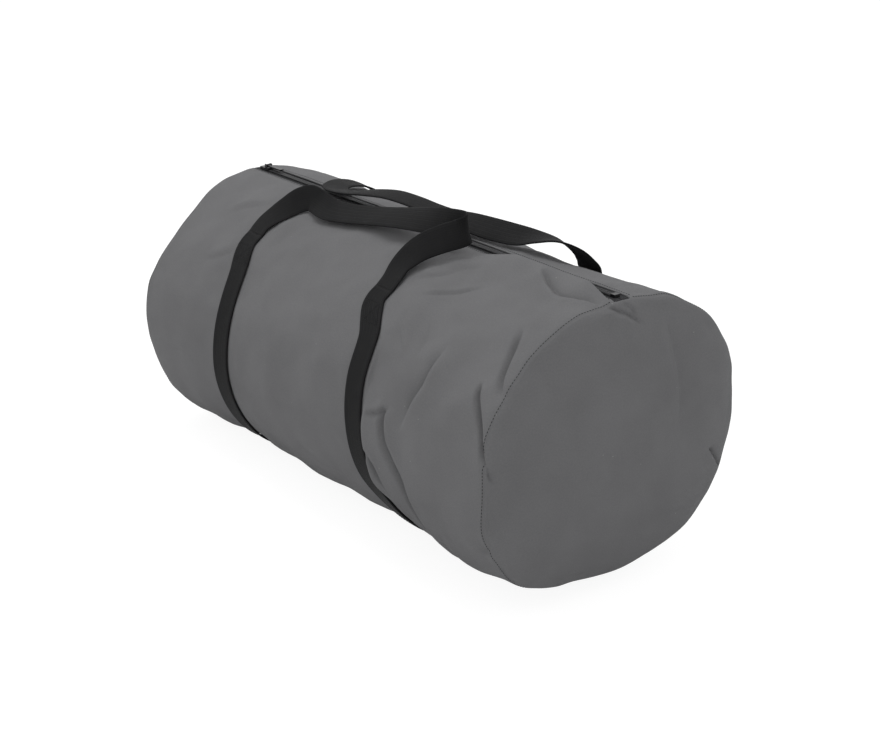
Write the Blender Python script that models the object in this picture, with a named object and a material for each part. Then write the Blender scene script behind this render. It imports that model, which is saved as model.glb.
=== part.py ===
"""A double sleeping bag, rolled up and packed in its round canvas carry bag.

The carry bag lies on its side with its zip on top. Its length runs along X, its front
faces -Y, and the floor under its middle is the origin. Sizes are in metres. An angle
called around is in degrees, measured from the top of the bag towards its front, so the
rear is past 180 or below 0.
"""

from math import asin, atan2, cos, degrees, pi, radians, sin, sqrt

import bmesh
import bpy
from mathutils import Vector

# Gaps
SEAT_GAP = 0.0003
BAND_GAP = 0.0008

# Canvas body of the carry bag: a round section whose underside is pressed flat on the floor,
# with a tighter shoulder between the round and the flat
BODY_RADIUS = 0.165
BODY_LENGTH = 0.674
AXIS_HEIGHT = 0.145
SHOULDER_RADIUS = 0.110
SHOULDER_ASIDE = sqrt((BODY_RADIUS - SHOULDER_RADIUS) ** 2 - (AXIS_HEIGHT - SHOULDER_RADIUS) ** 2)
SHOULDER_END = atan2(SHOULDER_ASIDE, AXIS_HEIGHT - SHOULDER_RADIUS)
CANVAS = 0.0015
SHARP_EDGE = 40.0
END_BULGE = 0.021
END_RINGS = (1.0, 0.93, 0.75, 0.45)
END_ROUNDNESS = 0.75
BODY_ROWS = 24
SIDE_COLUMNS = 18
FLAT_COLUMNS = 3

# Zip along the top
SLIT_HALF_WIDTH = 0.010
ZIP_TAPE_REACH = 0.019
TAPE_COVER = 0.002
ZIP_TAPE_THICKNESS = 0.0010
COIL_WIDTH = 0.0030
COIL_HEIGHT = 0.0018
COIL_CLEARANCE = 0.0006
COIL_PROFILE = ((0.0, 0.0), (0.0, 0.75), (0.3, 1.0), (0.7, 1.0), (1.0, 0.6), (1.0, 0.0))
STOP_LENGTH = 0.006
STOP_HEIGHT = 0.0030
ZIP_END_MARGIN = 0.008

# Zip slider and its pull tab
SLIDER_LENGTH = 0.016
SLIDER_WIDTH = 0.010
SLIDER_PLATE = 0.0012
SLIDER_WEB = 0.0006
SLIDER_SINK = 0.0004
SLIDER_CLEARANCE = 0.0004
EAR_HEIGHT = 0.0045
EAR_LENGTH = 0.0046
EAR_THICKNESS = 0.0012
PIN_RADIUS = 0.0008
ROUND_SIDES = 12
TAB_BORE_RADIUS = 0.0013
TAB_EYE_RADIUS = 0.0021
TAB_WIDTH = 0.0050
TAB_LENGTH = 0.030
TAB_THICKNESS = 0.0016

# Webbing bands round the body, and the handles that grow out of them
WEBBING = 0.030
STRAP = 0.0022
LEFT_BAND_AT = -0.174
RIGHT_BAND_AT = 0.109
FRONT_ROOT = 38.0
REAR_ROOT = -42.0
ROOT_GAP = 0.0030
WAIST_DEPTH = 0.0036
WAIST_REACH = 0.075
WAIST_FREE_TOP = 12.0
WAIST_FULL_FROM = 34.0
BAND_STEP = 6.0

# How far each band strays from its place as it goes round: (around, stray)
LEFT_BAND_STRAY = (
    (38, -0.0045), (44, -0.0045), (55, 0.010), (67, 0.015), (84, 0.014), (101, 0.009),
    (122, 0.004), (150, -0.001), (180, -0.003), (318, -0.004),
)
RIGHT_BAND_STRAY = (
    (38, -0.026), (44, -0.026), (56, -0.004), (73, 0.001), (90, 0.006), (108, 0.013),
    (120, 0.027), (135, 0.041), (160, 0.052), (180, 0.055), (230, 0.064), (318, 0.072),
)
SLOPE_STEP = 1.0

# Each handle's run: (share of the way from left root to right root, around, lift off the canvas,
# turn of the width off the bag's length, stand of the width off the canvas), the angles in degrees
FRONT_HANDLE_RUN = (
    (0.00, 38, 0.0009, 180, 0),
    (0.00, 33, 0.0030, 180, 1),
    (0.03, 28, 0.0060, 166, 10),
    (0.075, 23.5, 0.0095, 148, 30),
    (0.12, 19, 0.0130, 130, 50),
    (0.17, 16.7, 0.0148, 110, 57),
    (0.22, 16.5, 0.0125, 94, 42),
    (0.28, 17, 0.0105, 90, 25),
    (0.34, 17, 0.0090, 90, 18),
    (0.44, 15.5, 0.0092, 90, 16),
    (0.56, 13.5, 0.0115, 90, 18),
    (0.69, 12, 0.0160, 90, 22),
    (0.82, 11, 0.0210, 90, 30),
    (0.95, 10.5, 0.0260, 92, 45),
    (1.07, 9.5, 0.0295, 100, 64),
    (1.17, 8, 0.0300, 122, 80),
    (1.19, 11, 0.0270, 150, 72),
    (1.12, 15.5, 0.0215, 167, 47),
    (1.045, 20.5, 0.0150, 173, 26),
    (0.998, 26.5, 0.0075, 178, 9),
    (1.00, 33, 0.0030, 180, 0),
    (1.00, 38, 0.0009, 180, 0),
)
REAR_HANDLE_RUN = (
    (0.00, -42, 0.0011, 0, 0),
    (0.00, -35, 0.0030, 0, 0),
    (0.01, -24, 0.0048, 2, -2),
    (0.025, -13, 0.0078, 8, -3),
    (0.045, -4, 0.0100, 20, -6),
    (0.08, 2.5, 0.0110, 45, -10),
    (0.13, 5.5, 0.0122, 75, -14),
    (0.20, 5, 0.0145, 88, -8),
    (0.28, 2.5, 0.0185, 90, 0),
    (0.36, -0.5, 0.0205, 90, 5),
    (0.44, -2.5, 0.0190, 90, 6),
    (0.52, -4.5, 0.0155, 90, 8),
    (0.60, -5.5, 0.0135, 90, 16),
    (0.69, -7, 0.0128, 90, 32),
    (0.80, -8.5, 0.0125, 90, 42),
    (0.90, -10, 0.0138, 94, 38),
    (0.97, -12, 0.0170, 110, 16),
    (1.03, -14.5, 0.0182, 128, -6),
    (1.068, -18.5, 0.0145, 138, -15),
    (1.070, -23.5, 0.0092, 150, -12),
    (1.048, -28.5, 0.0060, 162, -6),
    (1.017, -33.5, 0.0038, 173, -1),
    (1.00, -38, 0.0024, 180, 0),
    (1.00, -42, 0.0011, 180, 0),
)
HANDLE_STEPS = 4

# Sewn boxes at the handles' roots
BOX_SIDE = 0.022
BOX_THREAD = 0.0030
BOX_HEIGHT = 0.0007
BOX_FROM_ROOT = 6.0

# Tape that binds the raw edges of the round end seams, inside
BINDING_WIDTH = 0.012
BINDING_THICKNESS = 0.0012

# The rolled sleeping bag, folded in half lengthwise and rolled up, and the ties round it, which
# lie against the canvas where the bands draw it in. The roll has every third angle of the canvas.
TIE_WIDTH = 0.025
TIE_THICKNESS = 0.0012
TIE_INSET = WAIST_DEPTH + CANVAS + SEAT_GAP
ROLL_INSET = TIE_INSET + TIE_THICKNESS + SEAT_GAP
ROLL_RADIUS = BODY_RADIUS - ROLL_INSET
ROLL_CORE_RADIUS = 0.016
ROLL_END_ROOM = 0.017
ROLL_HALF_WIDTH = BODY_LENGTH / 2 - ROLL_END_ROOM
ROLL_TURNS = 4
ROLL_STRIDE = 3
ROLL_END_THICKNESS = 0.018
SHELL_SHARE = 0.05
FILLING_SHARE = 0.15
LINING_SHARE = 0.05
FOLD_SHELL = 0.0012
FOLD_FILLING = 0.0060
FOLD_LINING = 0.0012
SIDE_ZIP_THICKNESS = 0.0016
SIDE_SLIDER_LENGTH = 0.012
SIDE_SLIDER_HEIGHT = 0.008
SIDE_SLIDER_THICKNESS = 0.005

# Colours: name, (red, green, blue), roughness, metallic
FINISHES = {
    "grey_canvas": ((0.150, 0.150, 0.155), 0.92, 0.0),
    "black_webbing": ((0.018, 0.018, 0.020), 0.80, 0.0),
    "black_zip_tape": ((0.040, 0.040, 0.042), 0.85, 0.0),
    "black_zip_coil": ((0.012, 0.012, 0.013), 0.45, 0.0),
    "black_zip_metal": ((0.030, 0.030, 0.032), 0.35, 0.9),
    "black_thread": ((0.020, 0.020, 0.022), 0.70, 0.0),
    "quilt_shell_canvas": ((0.120, 0.140, 0.115), 0.92, 0.0),
    "quilt_filling": ((0.780, 0.780, 0.760), 0.95, 0.0),
    "quilt_lining": ((0.420, 0.330, 0.240), 0.90, 0.0),
}


def material(name):
    """The named finish as a Principled material, made once."""
    found = bpy.data.materials.get(name)
    if found:
        return found
    colour, roughness, metallic = FINISHES[name]
    made = bpy.data.materials.new(name)
    made.use_nodes = True
    shader = made.node_tree.nodes["Principled BSDF"]
    shader.inputs["Base Color"].default_value = (*colour, 1.0)
    shader.inputs["Roughness"].default_value = roughness
    shader.inputs["Metallic"].default_value = metallic
    return made


def clear_scene():
    """Removes every object that the file starts with."""
    for thing in list(bpy.data.objects):
        bpy.data.objects.remove(thing)


def make_object(name, vertices, faces, finish, smooth=True):
    """A mesh object with its faces pointing out."""
    mesh = bpy.data.meshes.new(name)
    mesh.from_pydata([tuple(v) for v in vertices], [], faces)
    shape = bmesh.new()
    shape.from_mesh(mesh)
    bmesh.ops.recalc_face_normals(shape, faces=shape.faces)
    shape.to_mesh(mesh)
    shape.free()
    if smooth:
        mesh.shade_smooth()
        mesh.set_sharp_from_angle(angle=radians(SHARP_EDGE))
    mesh.materials.append(material(finish))
    made = bpy.data.objects.new(name, mesh)
    bpy.context.scene.collection.objects.link(made)
    return made


def sheet_wall(name, outer, inner, finish, wrap=False):
    """A closed wall between two grids of points. A wrapped wall's columns close on themselves."""
    rows, columns = len(outer), len(outer[0])
    points = [p for row in outer for p in row] + [p for row in inner for p in row]
    half = rows * columns
    faces = []
    last = columns if wrap else columns - 1
    for r in range(rows - 1):
        for c in range(last):
            a, b = r * columns + c, r * columns + (c + 1) % columns
            d, e = a + columns, b + columns
            faces.append((a, b, e, d))
            faces.append((half + a, half + d, half + e, half + b))
    for c in range(last):
        for r in (0, rows - 1):
            a, b = r * columns + c, r * columns + (c + 1) % columns
            faces.append((a, half + a, half + b, b))
    if not wrap:
        for r in range(rows - 1):
            for c in (0, columns - 1):
                a, d = r * columns + c, (r + 1) * columns + c
                faces.append((a, d, half + d, half + a))
    return make_object(name, points, faces, finish)


def sweep(name, rings, caps, finish):
    """A solid swept through rings of points. caps lists the end faces, as corners of a ring."""
    count = len(rings[0])
    points = [p for ring in rings for p in ring]
    faces = []
    for k in range(len(rings) - 1):
        here, there = k * count, (k + 1) * count
        for i in range(count):
            j = (i + 1) % count
            faces.append((here + i, here + j, there + j, there + i))
    for start in (0, (len(rings) - 1) * count):
        faces.extend(tuple(start + i for i in cap) for cap in caps)
    return make_object(name, points, faces, finish)


def block(low, high):
    """Points and faces of a box between two corners."""
    spans = list(zip(low, high))
    points = [Vector((x, y, z)) for x in spans[0] for y in spans[1] for z in spans[2]]
    faces = [(0, 1, 3, 2), (4, 6, 7, 5), (0, 4, 5, 1), (2, 3, 7, 6), (0, 2, 6, 4), (1, 5, 7, 3)]
    return points, faces


def smooth_step(low, high, value):
    """0 below low, 1 above high, and a smooth rise between."""
    t = min(1.0, max(0.0, (value - low) / (high - low)))
    return t * t * (3 - 2 * t)


def through(points, at):
    """A smooth curve through (position, value) points, at a position between the first and last."""
    k = 0
    while k < len(points) - 2 and at > points[k + 1][0]:
        k += 1
    (x0, y0), (x1, y1) = points[k], points[k + 1]
    before = points[k - 1] if k else points[k]
    after = points[k + 2] if k + 2 < len(points) else points[k + 1]
    slope0 = (y1 - before[1]) / (x1 - before[0])
    slope1 = (after[1] - y0) / (after[0] - x0)
    span = x1 - x0
    t = min(1.0, max(0.0, (at - x0) / span))
    return (
        (2 * t**3 - 3 * t**2 + 1) * y0
        + (t**3 - 2 * t**2 + t) * span * slope0
        + (3 * t**2 - 2 * t**3) * y1
        + (t**3 - t**2) * span * slope1
    )


def out_from_axis(around):
    """The unit vector square to the bag's axis at an angle."""
    return Vector((0, -sin(radians(around)), cos(radians(around))))


def section(offset, around):
    """How far the bag's section reaches from its axis at an angle, with an offset from the canvas."""
    off_bottom = radians(abs(around % 360 - 180))
    if off_bottom > SHOULDER_END:
        return BODY_RADIUS + offset
    drop = AXIS_HEIGHT + offset
    if off_bottom < atan2(SHOULDER_ASIDE, drop):
        return drop / cos(off_bottom)
    to_centre = BODY_RADIUS - SHOULDER_RADIUS
    beside = to_centre * sin(SHOULDER_END - off_bottom)
    return to_centre * cos(SHOULDER_END - off_bottom) + sqrt((SHOULDER_RADIUS + offset) ** 2 - beside**2)


def band_centre(place, stray, around):
    """Where along the bag a band's middle lies at an angle."""
    return place + through(stray, min(max(around % 360, stray[0][0]), stray[-1][0]))


def left_centre(around):
    """Where along the bag the left band lies."""
    return band_centre(LEFT_BAND_AT, LEFT_BAND_STRAY, around)


def right_centre(around):
    """Where along the bag the right band lies."""
    return band_centre(RIGHT_BAND_AT, RIGHT_BAND_STRAY, around)


def waist(along, around):
    """How far the bands draw the canvas in at a place. The zip's run on top stays straight."""
    from_top = abs((around + 180) % 360 - 180)
    pull = smooth_step(WAIST_FREE_TOP, WAIST_FULL_FROM, from_top)
    depth = 0.0
    for centre in (left_centre(around), right_centre(around)):
        away = min(1.0, abs(along - centre) / WAIST_REACH)
        depth = max(depth, WAIST_DEPTH * (1 + cos(pi * away)) / 2)
    return depth * pull


def canvas(along, around, offset=0.0):
    """A point that far outside the canvas's outer face."""
    reach = section(offset - waist(along, around), around)
    return Vector((along, 0, AXIS_HEIGHT)) + out_from_axis(around) * reach


def on_circle(distance, radius=BODY_RADIUS):
    """The angle whose place on a circle is that far to the side."""
    return degrees(asin(distance / radius))


def flat_corner():
    """The angle of the front edge of the pressed flat."""
    return 180 - degrees(atan2(SHOULDER_ASIDE, AXIS_HEIGHT))


def run_of_angles(stops, step):
    """Angles from the first stop to the last through each one between, about a step apart."""
    angles = [stops[0]]
    for low, high in zip(stops, stops[1:]):
        count = max(1, round((high - low) / step))
        angles.extend(low + (high - low) * (k + 1) / count for k in range(count))
    return angles


def girth_angles():
    """Angles round the bag, with a column over each zip tape's edge and on each corner of the flat."""
    tape = on_circle(ZIP_TAPE_REACH + TAPE_COVER)
    corner = flat_corner()
    front = [tape + (corner - tape) * k / SIDE_COLUMNS for k in range(SIDE_COLUMNS)]
    flat = [corner + (360 - 2 * corner) * k / FLAT_COLUMNS for k in range(FLAT_COLUMNS + 1)]
    return front + flat + [360 - a for a in reversed(front)]


def make_body_panel():
    """The long canvas panel, open along the top for the zip and at both ends."""
    stations = [BODY_LENGTH * (k / BODY_ROWS - 0.5) for k in range(BODY_ROWS + 1)]
    edge = on_circle(SLIT_HALF_WIDTH)
    angles = [edge, *girth_angles(), 360 - edge]
    outer = [[canvas(x, a) for a in angles] for x in stations]
    inner = [[canvas(x, a, -CANVAS) for a in angles] for x in stations]
    sheet_wall("body_panel", outer, inner, "grey_canvas")


def make_end_panel(name, side):
    """A round end panel, dished outwards, whose rim seats on the end of the body panel."""
    rim = side * (BODY_LENGTH / 2 + SEAT_GAP)
    angles = [0, *girth_angles()]
    layers = []
    for back in (0.0, CANVAS):
        points = []
        for share in END_RINGS:
            rise = END_BULGE * (1 - share**2) ** END_ROUNDNESS
            for a in angles:
                place = out_from_axis(a) * section(0.0, a) * share
                points.append(Vector((rim + side * (rise + CANVAS - back), place.y, AXIS_HEIGHT + place.z)))
        points.append(Vector((rim + side * (END_BULGE + CANVAS - back), 0, AXIS_HEIGHT)))
        layers.append(points)
    count, half = len(angles), len(layers[0])
    faces = []
    for start in (0, half):
        for r in range(len(END_RINGS) - 1):
            for c in range(count):
                a, b = start + r * count + c, start + r * count + (c + 1) % count
                faces.append((a, b, b + count, a + count))
        last = start + (len(END_RINGS) - 1) * count
        faces.extend((last + c, last + (c + 1) % count, start + half - 1) for c in range(count))
    faces.extend((c, (c + 1) % count, half + (c + 1) % count, half + c) for c in range(count))
    make_object(name, layers[0] + layers[1], faces, "grey_canvas")


def make_seam_binding(name, side):
    """The tape inside an end seam. It passes under the zip tapes."""
    depth = CANVAS + SEAT_GAP + ZIP_TAPE_THICKNESS + 2 * SEAT_GAP
    ends = (side * BODY_LENGTH / 2, side * (BODY_LENGTH / 2 - BINDING_WIDTH))
    angles = [0, *girth_angles()]
    outer = [[canvas(x, a, -depth) for a in angles] for x in ends]
    inner = [[canvas(x, a, -depth - BINDING_THICKNESS) for a in angles] for x in ends]
    sheet_wall(name, outer, inner, "black_zip_tape", wrap=True)


def zip_top(offset):
    """The height of a level that far above the canvas's outer face, on the zip's line."""
    return AXIS_HEIGHT + BODY_RADIUS + offset


def make_zip_tape(name, side):
    """One tape of the zip, under the edge of the slit. side is 1 for the rear and -1 for the front."""
    top = -CANVAS - SEAT_GAP
    edges = (COIL_CLEARANCE, SLIT_HALF_WIDTH, ZIP_TAPE_REACH)
    ends = (-BODY_LENGTH / 2, BODY_LENGTH / 2)
    angles = [-side * on_circle(e) for e in edges]
    outer = [[canvas(x, a, top) for a in angles] for x in ends]
    inner = [[canvas(x, a, top - ZIP_TAPE_THICKNESS) for a in angles] for x in ends]
    sheet_wall(name, outer, inner, "black_zip_tape")


def coil_base():
    """The height of the coils' seat on the tapes."""
    return zip_top(-CANVAS - SEAT_GAP) + SEAT_GAP


def make_zip_coil(name, side):
    """One coil of the zip, as a low half-round bead on its tape."""
    base = coil_base()
    end = BODY_LENGTH / 2 - ZIP_END_MARGIN - STOP_LENGTH - SEAT_GAP
    rings = []
    for x in (-end, end):
        ring = []
        for across, up in COIL_PROFILE:
            ring.append(Vector((x, side * (COIL_CLEARANCE + COIL_WIDTH * across), base + COIL_HEIGHT * up)))
        rings.append(ring)
    sweep(name, rings, [tuple(range(len(COIL_PROFILE)))], "black_zip_coil")


def make_zip_stop(name, side):
    """The stop that keeps the slider on at an end of the coils."""
    outer_end = side * (BODY_LENGTH / 2 - ZIP_END_MARGIN)
    inner_end = outer_end - side * STOP_LENGTH
    half = COIL_CLEARANCE + COIL_WIDTH
    low = (min(outer_end, inner_end), -half, coil_base())
    high = (max(outer_end, inner_end), half, coil_base() + STOP_HEIGHT)
    points, faces = block(low, high)
    make_object(name, points, faces, "black_zip_metal", smooth=False)


def slider_levels():
    """Heights of the slider: bottom plate, its top, top plate, its top, pin."""
    tape_under = zip_top(-CANVAS - SEAT_GAP - ZIP_TAPE_THICKNESS)
    under_top = tape_under - SLIDER_CLEARANCE - arc_drop(SLIDER_WIDTH / 2)
    over = coil_base() + COIL_HEIGHT + SLIDER_CLEARANCE
    top = over + SLIDER_PLATE
    return under_top - SLIDER_PLATE, under_top, over, top, top + EAR_HEIGHT - TAB_EYE_RADIUS


def arc_drop(aside):
    """How far the round top falls at that distance beside the zip's line."""
    return BODY_RADIUS * (1 - cos(asin(aside / BODY_RADIUS)))


def slider_start():
    """Where the slider's middle is when the zip is closed, against the far stop."""
    stop = -BODY_LENGTH / 2 + ZIP_END_MARGIN + STOP_LENGTH
    return stop + SEAT_GAP + SLIDER_LENGTH / 2


def make_zip_slider():
    """The slider: two plates joined by a thin web between the coils, with two ears and a pin."""
    bottom, bottom_top, over, top, pin = slider_levels()
    half_long, half_wide, half_web = SLIDER_LENGTH / 2, SLIDER_WIDTH / 2, SLIDER_WEB / 2
    ear_in = TAB_WIDTH / 2 + SLIDER_CLEARANCE
    ear_out = ear_in + EAR_THICKNESS
    boxes = [
        ((-half_long, -half_wide, bottom), (half_long, half_wide, bottom_top)),
        ((-half_long, -half_wide, over), (half_long, half_wide, top)),
        (
            (-half_long / 2, -half_web, bottom_top - SLIDER_SINK),
            (half_long / 2, half_web, over + SLIDER_SINK),
        ),
    ]
    for side in (-1, 1):
        low, high = sorted((side * ear_in, side * ear_out))
        boxes.append(((-EAR_LENGTH / 2, low, top - SLIDER_SINK), (EAR_LENGTH / 2, high, top + EAR_HEIGHT)))
    pieces = []
    for index, (low, high) in enumerate(boxes):
        points, faces = block(low, high)
        pieces.append(make_object(f"slider_piece_{index}", points, faces, "black_zip_metal", smooth=False))
    pieces.append(make_rod("slider_pin", PIN_RADIUS, ear_out - EAR_THICKNESS / 2, pin))
    return unite("zip_slider", pieces, (slider_start(), 0, 0))


def make_rod(name, radius, half_length, height):
    """A round rod across the zip, centred over the object's own origin."""
    rings = [[p + Vector((0, y, height)) for p in round_ring(radius)] for y in (-half_length, half_length)]
    return sweep(name, rings, [tuple(range(ROUND_SIDES))], "black_zip_metal")


def round_ring(radius):
    """Points of a circle square to the Y axis."""
    turns = [2 * pi * k / ROUND_SIDES for k in range(ROUND_SIDES)]
    return [Vector((radius * cos(a), 0, radius * sin(a))) for a in turns]


def unite(name, pieces, location):
    """Joins solids into one body at a place, and keeps the first piece under the new name."""
    body = pieces[0]
    for piece in pieces:
        piece.location = location
    for piece in pieces[1:]:
        cut = body.modifiers.new("join", "BOOLEAN")
        cut.operation = "UNION"
        cut.object = piece
        piece.hide_render = True
        piece.display_type = "WIRE"
    body.name = name
    body.data.name = name
    return body


def make_pull_tab():
    """The pull tab. Its eye turns on the slider's pin, and it lies flat along the zip."""
    half = TAB_WIDTH / 2
    sides = [Vector((0, y, 0)) for y in (-half, half)]
    rings = [[p + side for p in round_ring(TAB_EYE_RADIUS)] for side in sides]
    bores = [[p + side for p in round_ring(TAB_BORE_RADIUS)] for side in sides]
    eye = sheet_wall("zip_pull_tab", rings, bores, "black_zip_metal", wrap=True)
    start = (TAB_BORE_RADIUS + TAB_EYE_RADIUS) / 2
    low = (start, -half, -TAB_THICKNESS / 2)
    high = (start + TAB_LENGTH, half, TAB_THICKNESS / 2)
    points, faces = block(low, high)
    blade = make_object("tab_blade", points, faces, "black_zip_metal", smooth=False)
    unite("zip_pull_tab", [eye, blade], (slider_start(), 0, slider_levels()[4]))


def web_edges(centre, around, half_width):
    """The two edges of a band at an angle, square to its run: (along, around) pairs."""
    girth = 2 * radians(SLOPE_STEP) * BODY_RADIUS
    run = (centre(around + SLOPE_STEP) - centre(around - SLOPE_STEP)) / girth
    length = sqrt(1 + run * run)
    aside = half_width / length
    turn = degrees(half_width * run / length / BODY_RADIUS)
    middle = centre(around)
    return (middle - aside, around + turn), (middle + aside, around - turn)


def make_band(name, centre):
    """A webbing band sewn round the body, from its front root under the bag to its rear root.

    Its two ends are cut along the bag's length, and the rest of it square to its run.
    """
    gap = degrees(ROOT_GAP / BODY_RADIUS)
    corner = flat_corner()
    stops = (FRONT_ROOT + gap, corner, 360 - corner, 360 + REAR_ROOT - gap)
    angles = run_of_angles(stops, BAND_STEP)
    rows = [web_edges(centre, around, WEBBING / 2) for around in angles]
    for end in (0, -1):
        rows[end] = [(centre(angles[end]) + side * WEBBING / 2, angles[end]) for side in (-1, 1)]
    outer, inner = [], []
    for edges in rows:
        outer.append([canvas(x, a, BAND_GAP + STRAP) for x, a in edges])
        inner.append([canvas(x, a, BAND_GAP) for x, a in edges])
    sheet_wall(name, outer, inner, "black_webbing")


def on_band(centre, around, across, offset):
    """A point on a band, that far across it from its middle, and that far off the canvas."""
    (x0, a0), (x1, a1) = web_edges(centre, around, WEBBING / 2)
    return canvas(x0, a0, offset).lerp(canvas(x1, a1, offset), across / WEBBING + 0.5)


def make_stitch_box(name, centre, root, side):
    """The sewn box that holds a handle's root to its band: a square frame of thread with a bar across."""
    middle = root + side * (BOX_FROM_ROOT + degrees(BOX_SIDE / 2 / BODY_RADIUS))
    half = BOX_SIDE / 2
    cuts = [-half, BOX_THREAD - half, -BOX_THREAD / 2, BOX_THREAD / 2, half - BOX_THREAD, half]
    last = len(cuts) - 2
    filled = set()
    for r in range(last + 1):
        for c in range(last + 1):
            if r in (0, last // 2, last) or c in (0, last):
                filled.add((r, c))
    low = BAND_GAP + STRAP + SEAT_GAP
    numbers, places = {}, []

    def corner(r, c, offset):
        """The number of a corner, made when first asked for."""
        key = (r, c, offset)
        if key not in numbers:
            around = middle + degrees(cuts[r] / BODY_RADIUS)
            numbers[key] = len(places)
            places.append(on_band(centre, around, cuts[c], offset))
        return numbers[key]

    high = low + BOX_HEIGHT
    faces = []
    for r, c in sorted(filled):
        square = [(r, c), (r, c + 1), (r + 1, c + 1), (r + 1, c)]
        beyond = [(r - 1, c), (r, c + 1), (r + 1, c), (r, c - 1)]
        for offset in (low, high):
            faces.append(tuple(corner(i, j, offset) for i, j in square))
        for here, there, next_cell in zip(square, square[1:] + square[:1], beyond):
            if next_cell not in filled:
                wall = [(here, low), (there, low), (there, high), (here, high)]
                faces.append(tuple(corner(r, c, offset) for (r, c), offset in wall))
    make_object(name, places, faces, "black_thread", smooth=False)


def handle_frames(run, root_angle):
    """Places and width directions along a handle, through its chosen points."""
    left, right = left_centre(root_angle), right_centre(root_angle)
    places, widths = [], []
    for share, around, lift, turn, stand in run:
        place = canvas(left + share * (right - left), around, lift + BAND_GAP)
        up = out_from_axis(around)
        over = Vector((1, 0, 0)).cross(up) * -1
        flat = Vector((1, 0, 0)) * cos(radians(turn)) + over * sin(radians(turn))
        places.append(place)
        widths.append(flat * cos(radians(stand)) + up * sin(radians(stand)))
    fine = []
    for k in range(len(run) - 1):
        p0 = places[max(k - 1, 0)]
        p1, p2 = places[k], places[k + 1]
        p3 = places[min(k + 2, len(run) - 1)]
        steps = HANDLE_STEPS + (k == len(run) - 2)
        for i in range(steps):
            t = i / HANDLE_STEPS
            square = p0 * 2 - p1 * 5 + p2 * 4 - p3
            cube = p1 * 3 - p0 - p2 * 3 + p3
            place = (p1 * 2 + (p2 - p0) * t + square * t**2 + cube * t**3) / 2
            fine.append((place, widths[k].lerp(widths[k + 1], t)))
    return fine


def make_handle(name, run, root_angle):
    """A webbing handle as a flat strap, cut along the bag's length at its roots. It hinges at its origin."""
    frames = handle_frames(run, root_angle)
    pivot = handle_axis(root_angle)
    outer, inner = [], []
    for k, (place, width) in enumerate(frames):
        ahead = frames[min(k + 1, len(frames) - 1)][0] - frames[max(k - 1, 0)][0]
        if k in (0, len(frames) - 1):
            ahead -= width * ahead.dot(width)
        ahead.normalize()
        width = (width - ahead * width.dot(ahead)).normalized()
        face = width.cross(ahead)
        middle = place - pivot
        outer.append([middle + width * side * WEBBING / 2 + face * STRAP / 2 for side in (-1, 0, 1)])
        inner.append([middle + width * side * WEBBING / 2 - face * STRAP / 2 for side in (-1, 0, 1)])
    handle = sheet_wall(name, outer, inner, "black_webbing")
    handle.location = pivot
    return handle


def handle_axis(root_angle):
    """A point on the line through a handle's two roots, on its outer face, about which it folds."""
    reach = BODY_RADIUS - WAIST_DEPTH + BAND_GAP + STRAP
    return Vector((0, 0, AXIS_HEIGHT)) + out_from_axis(root_angle) * reach


def roll_inner(turned):
    """The inner radius of the rolled pack after that many turns."""
    reach = ROLL_RADIUS - ROLL_END_THICKNESS
    return ROLL_CORE_RADIUS + (reach - ROLL_CORE_RADIUS) * turned / ROLL_TURNS


def roll_outer(turned):
    """The outer radius of the rolled pack, which thins towards its outer end."""
    if turned <= ROLL_TURNS - 1:
        return roll_inner(turned + 1) - SEAT_GAP
    start = roll_inner(ROLL_TURNS) - SEAT_GAP
    return start + (ROLL_RADIUS - start) * (turned - ROLL_TURNS + 1)


def roll_point(along, turned, depth, inset=0.0):
    """A point of the roll: depth is 0 on the pack's outer face and 1 on its inner face."""
    outer, inner = roll_outer(turned), roll_inner(turned)
    around = 360 * turned
    squash = section(-ROLL_INSET, around) / ROLL_RADIUS
    reach = (outer + (inner - outer) * depth + inset) * squash
    return Vector((along, 0, AXIS_HEIGHT)) + out_from_axis(around) * reach


def roll_turns():
    """The places of the roll's stations, in turns."""
    return [turn + a / 360 for turn in range(ROLL_TURNS) for a in girth_angles()[::ROLL_STRIDE]]


def make_quilt_layer(name, finish, depth, share, fold, fold_thickness):
    """One layer of the folded sleeping bag, a U in section, wound through every turn."""
    near_in = fold - fold_thickness + SEAT_GAP
    rings = []
    for turned in roll_turns():
        top, under = depth, depth + share
        rings.append([
            roll_point(-ROLL_HALF_WIDTH, turned, top),
            roll_point(fold, turned, top),
            roll_point(fold, turned, 1 - top),
            roll_point(-ROLL_HALF_WIDTH, turned, 1 - top),
            roll_point(-ROLL_HALF_WIDTH, turned, 1 - under, -SEAT_GAP),
            roll_point(near_in, turned, 1 - under, -SEAT_GAP),
            roll_point(near_in, turned, under, SEAT_GAP),
            roll_point(-ROLL_HALF_WIDTH, turned, under, SEAT_GAP),
        ])
    sweep(name, rings, [(0, 1, 6, 7), (1, 2, 5, 6), (2, 3, 4, 5)], finish)


def make_quilts():
    """The two quilts of the double bag, from the outside of the fold inwards."""
    layers = [
        ("bottom_quilt_shell", "quilt_shell_canvas", SHELL_SHARE, FOLD_SHELL),
        ("bottom_quilt_filling", "quilt_filling", FILLING_SHARE, FOLD_FILLING),
        ("bottom_quilt_lining", "quilt_lining", LINING_SHARE, FOLD_LINING),
        ("top_quilt_lining", "quilt_lining", LINING_SHARE, FOLD_LINING),
        ("top_quilt_filling", "quilt_filling", FILLING_SHARE, FOLD_FILLING),
        ("top_quilt_shell", "quilt_shell_canvas", SHELL_SHARE, FOLD_SHELL),
    ]
    depth, fold = 0.0, ROLL_HALF_WIDTH
    for name, finish, share, fold_thickness in layers:
        make_quilt_layer(name, finish, depth, share, fold, fold_thickness)
        depth += share
        fold -= fold_thickness


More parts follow.
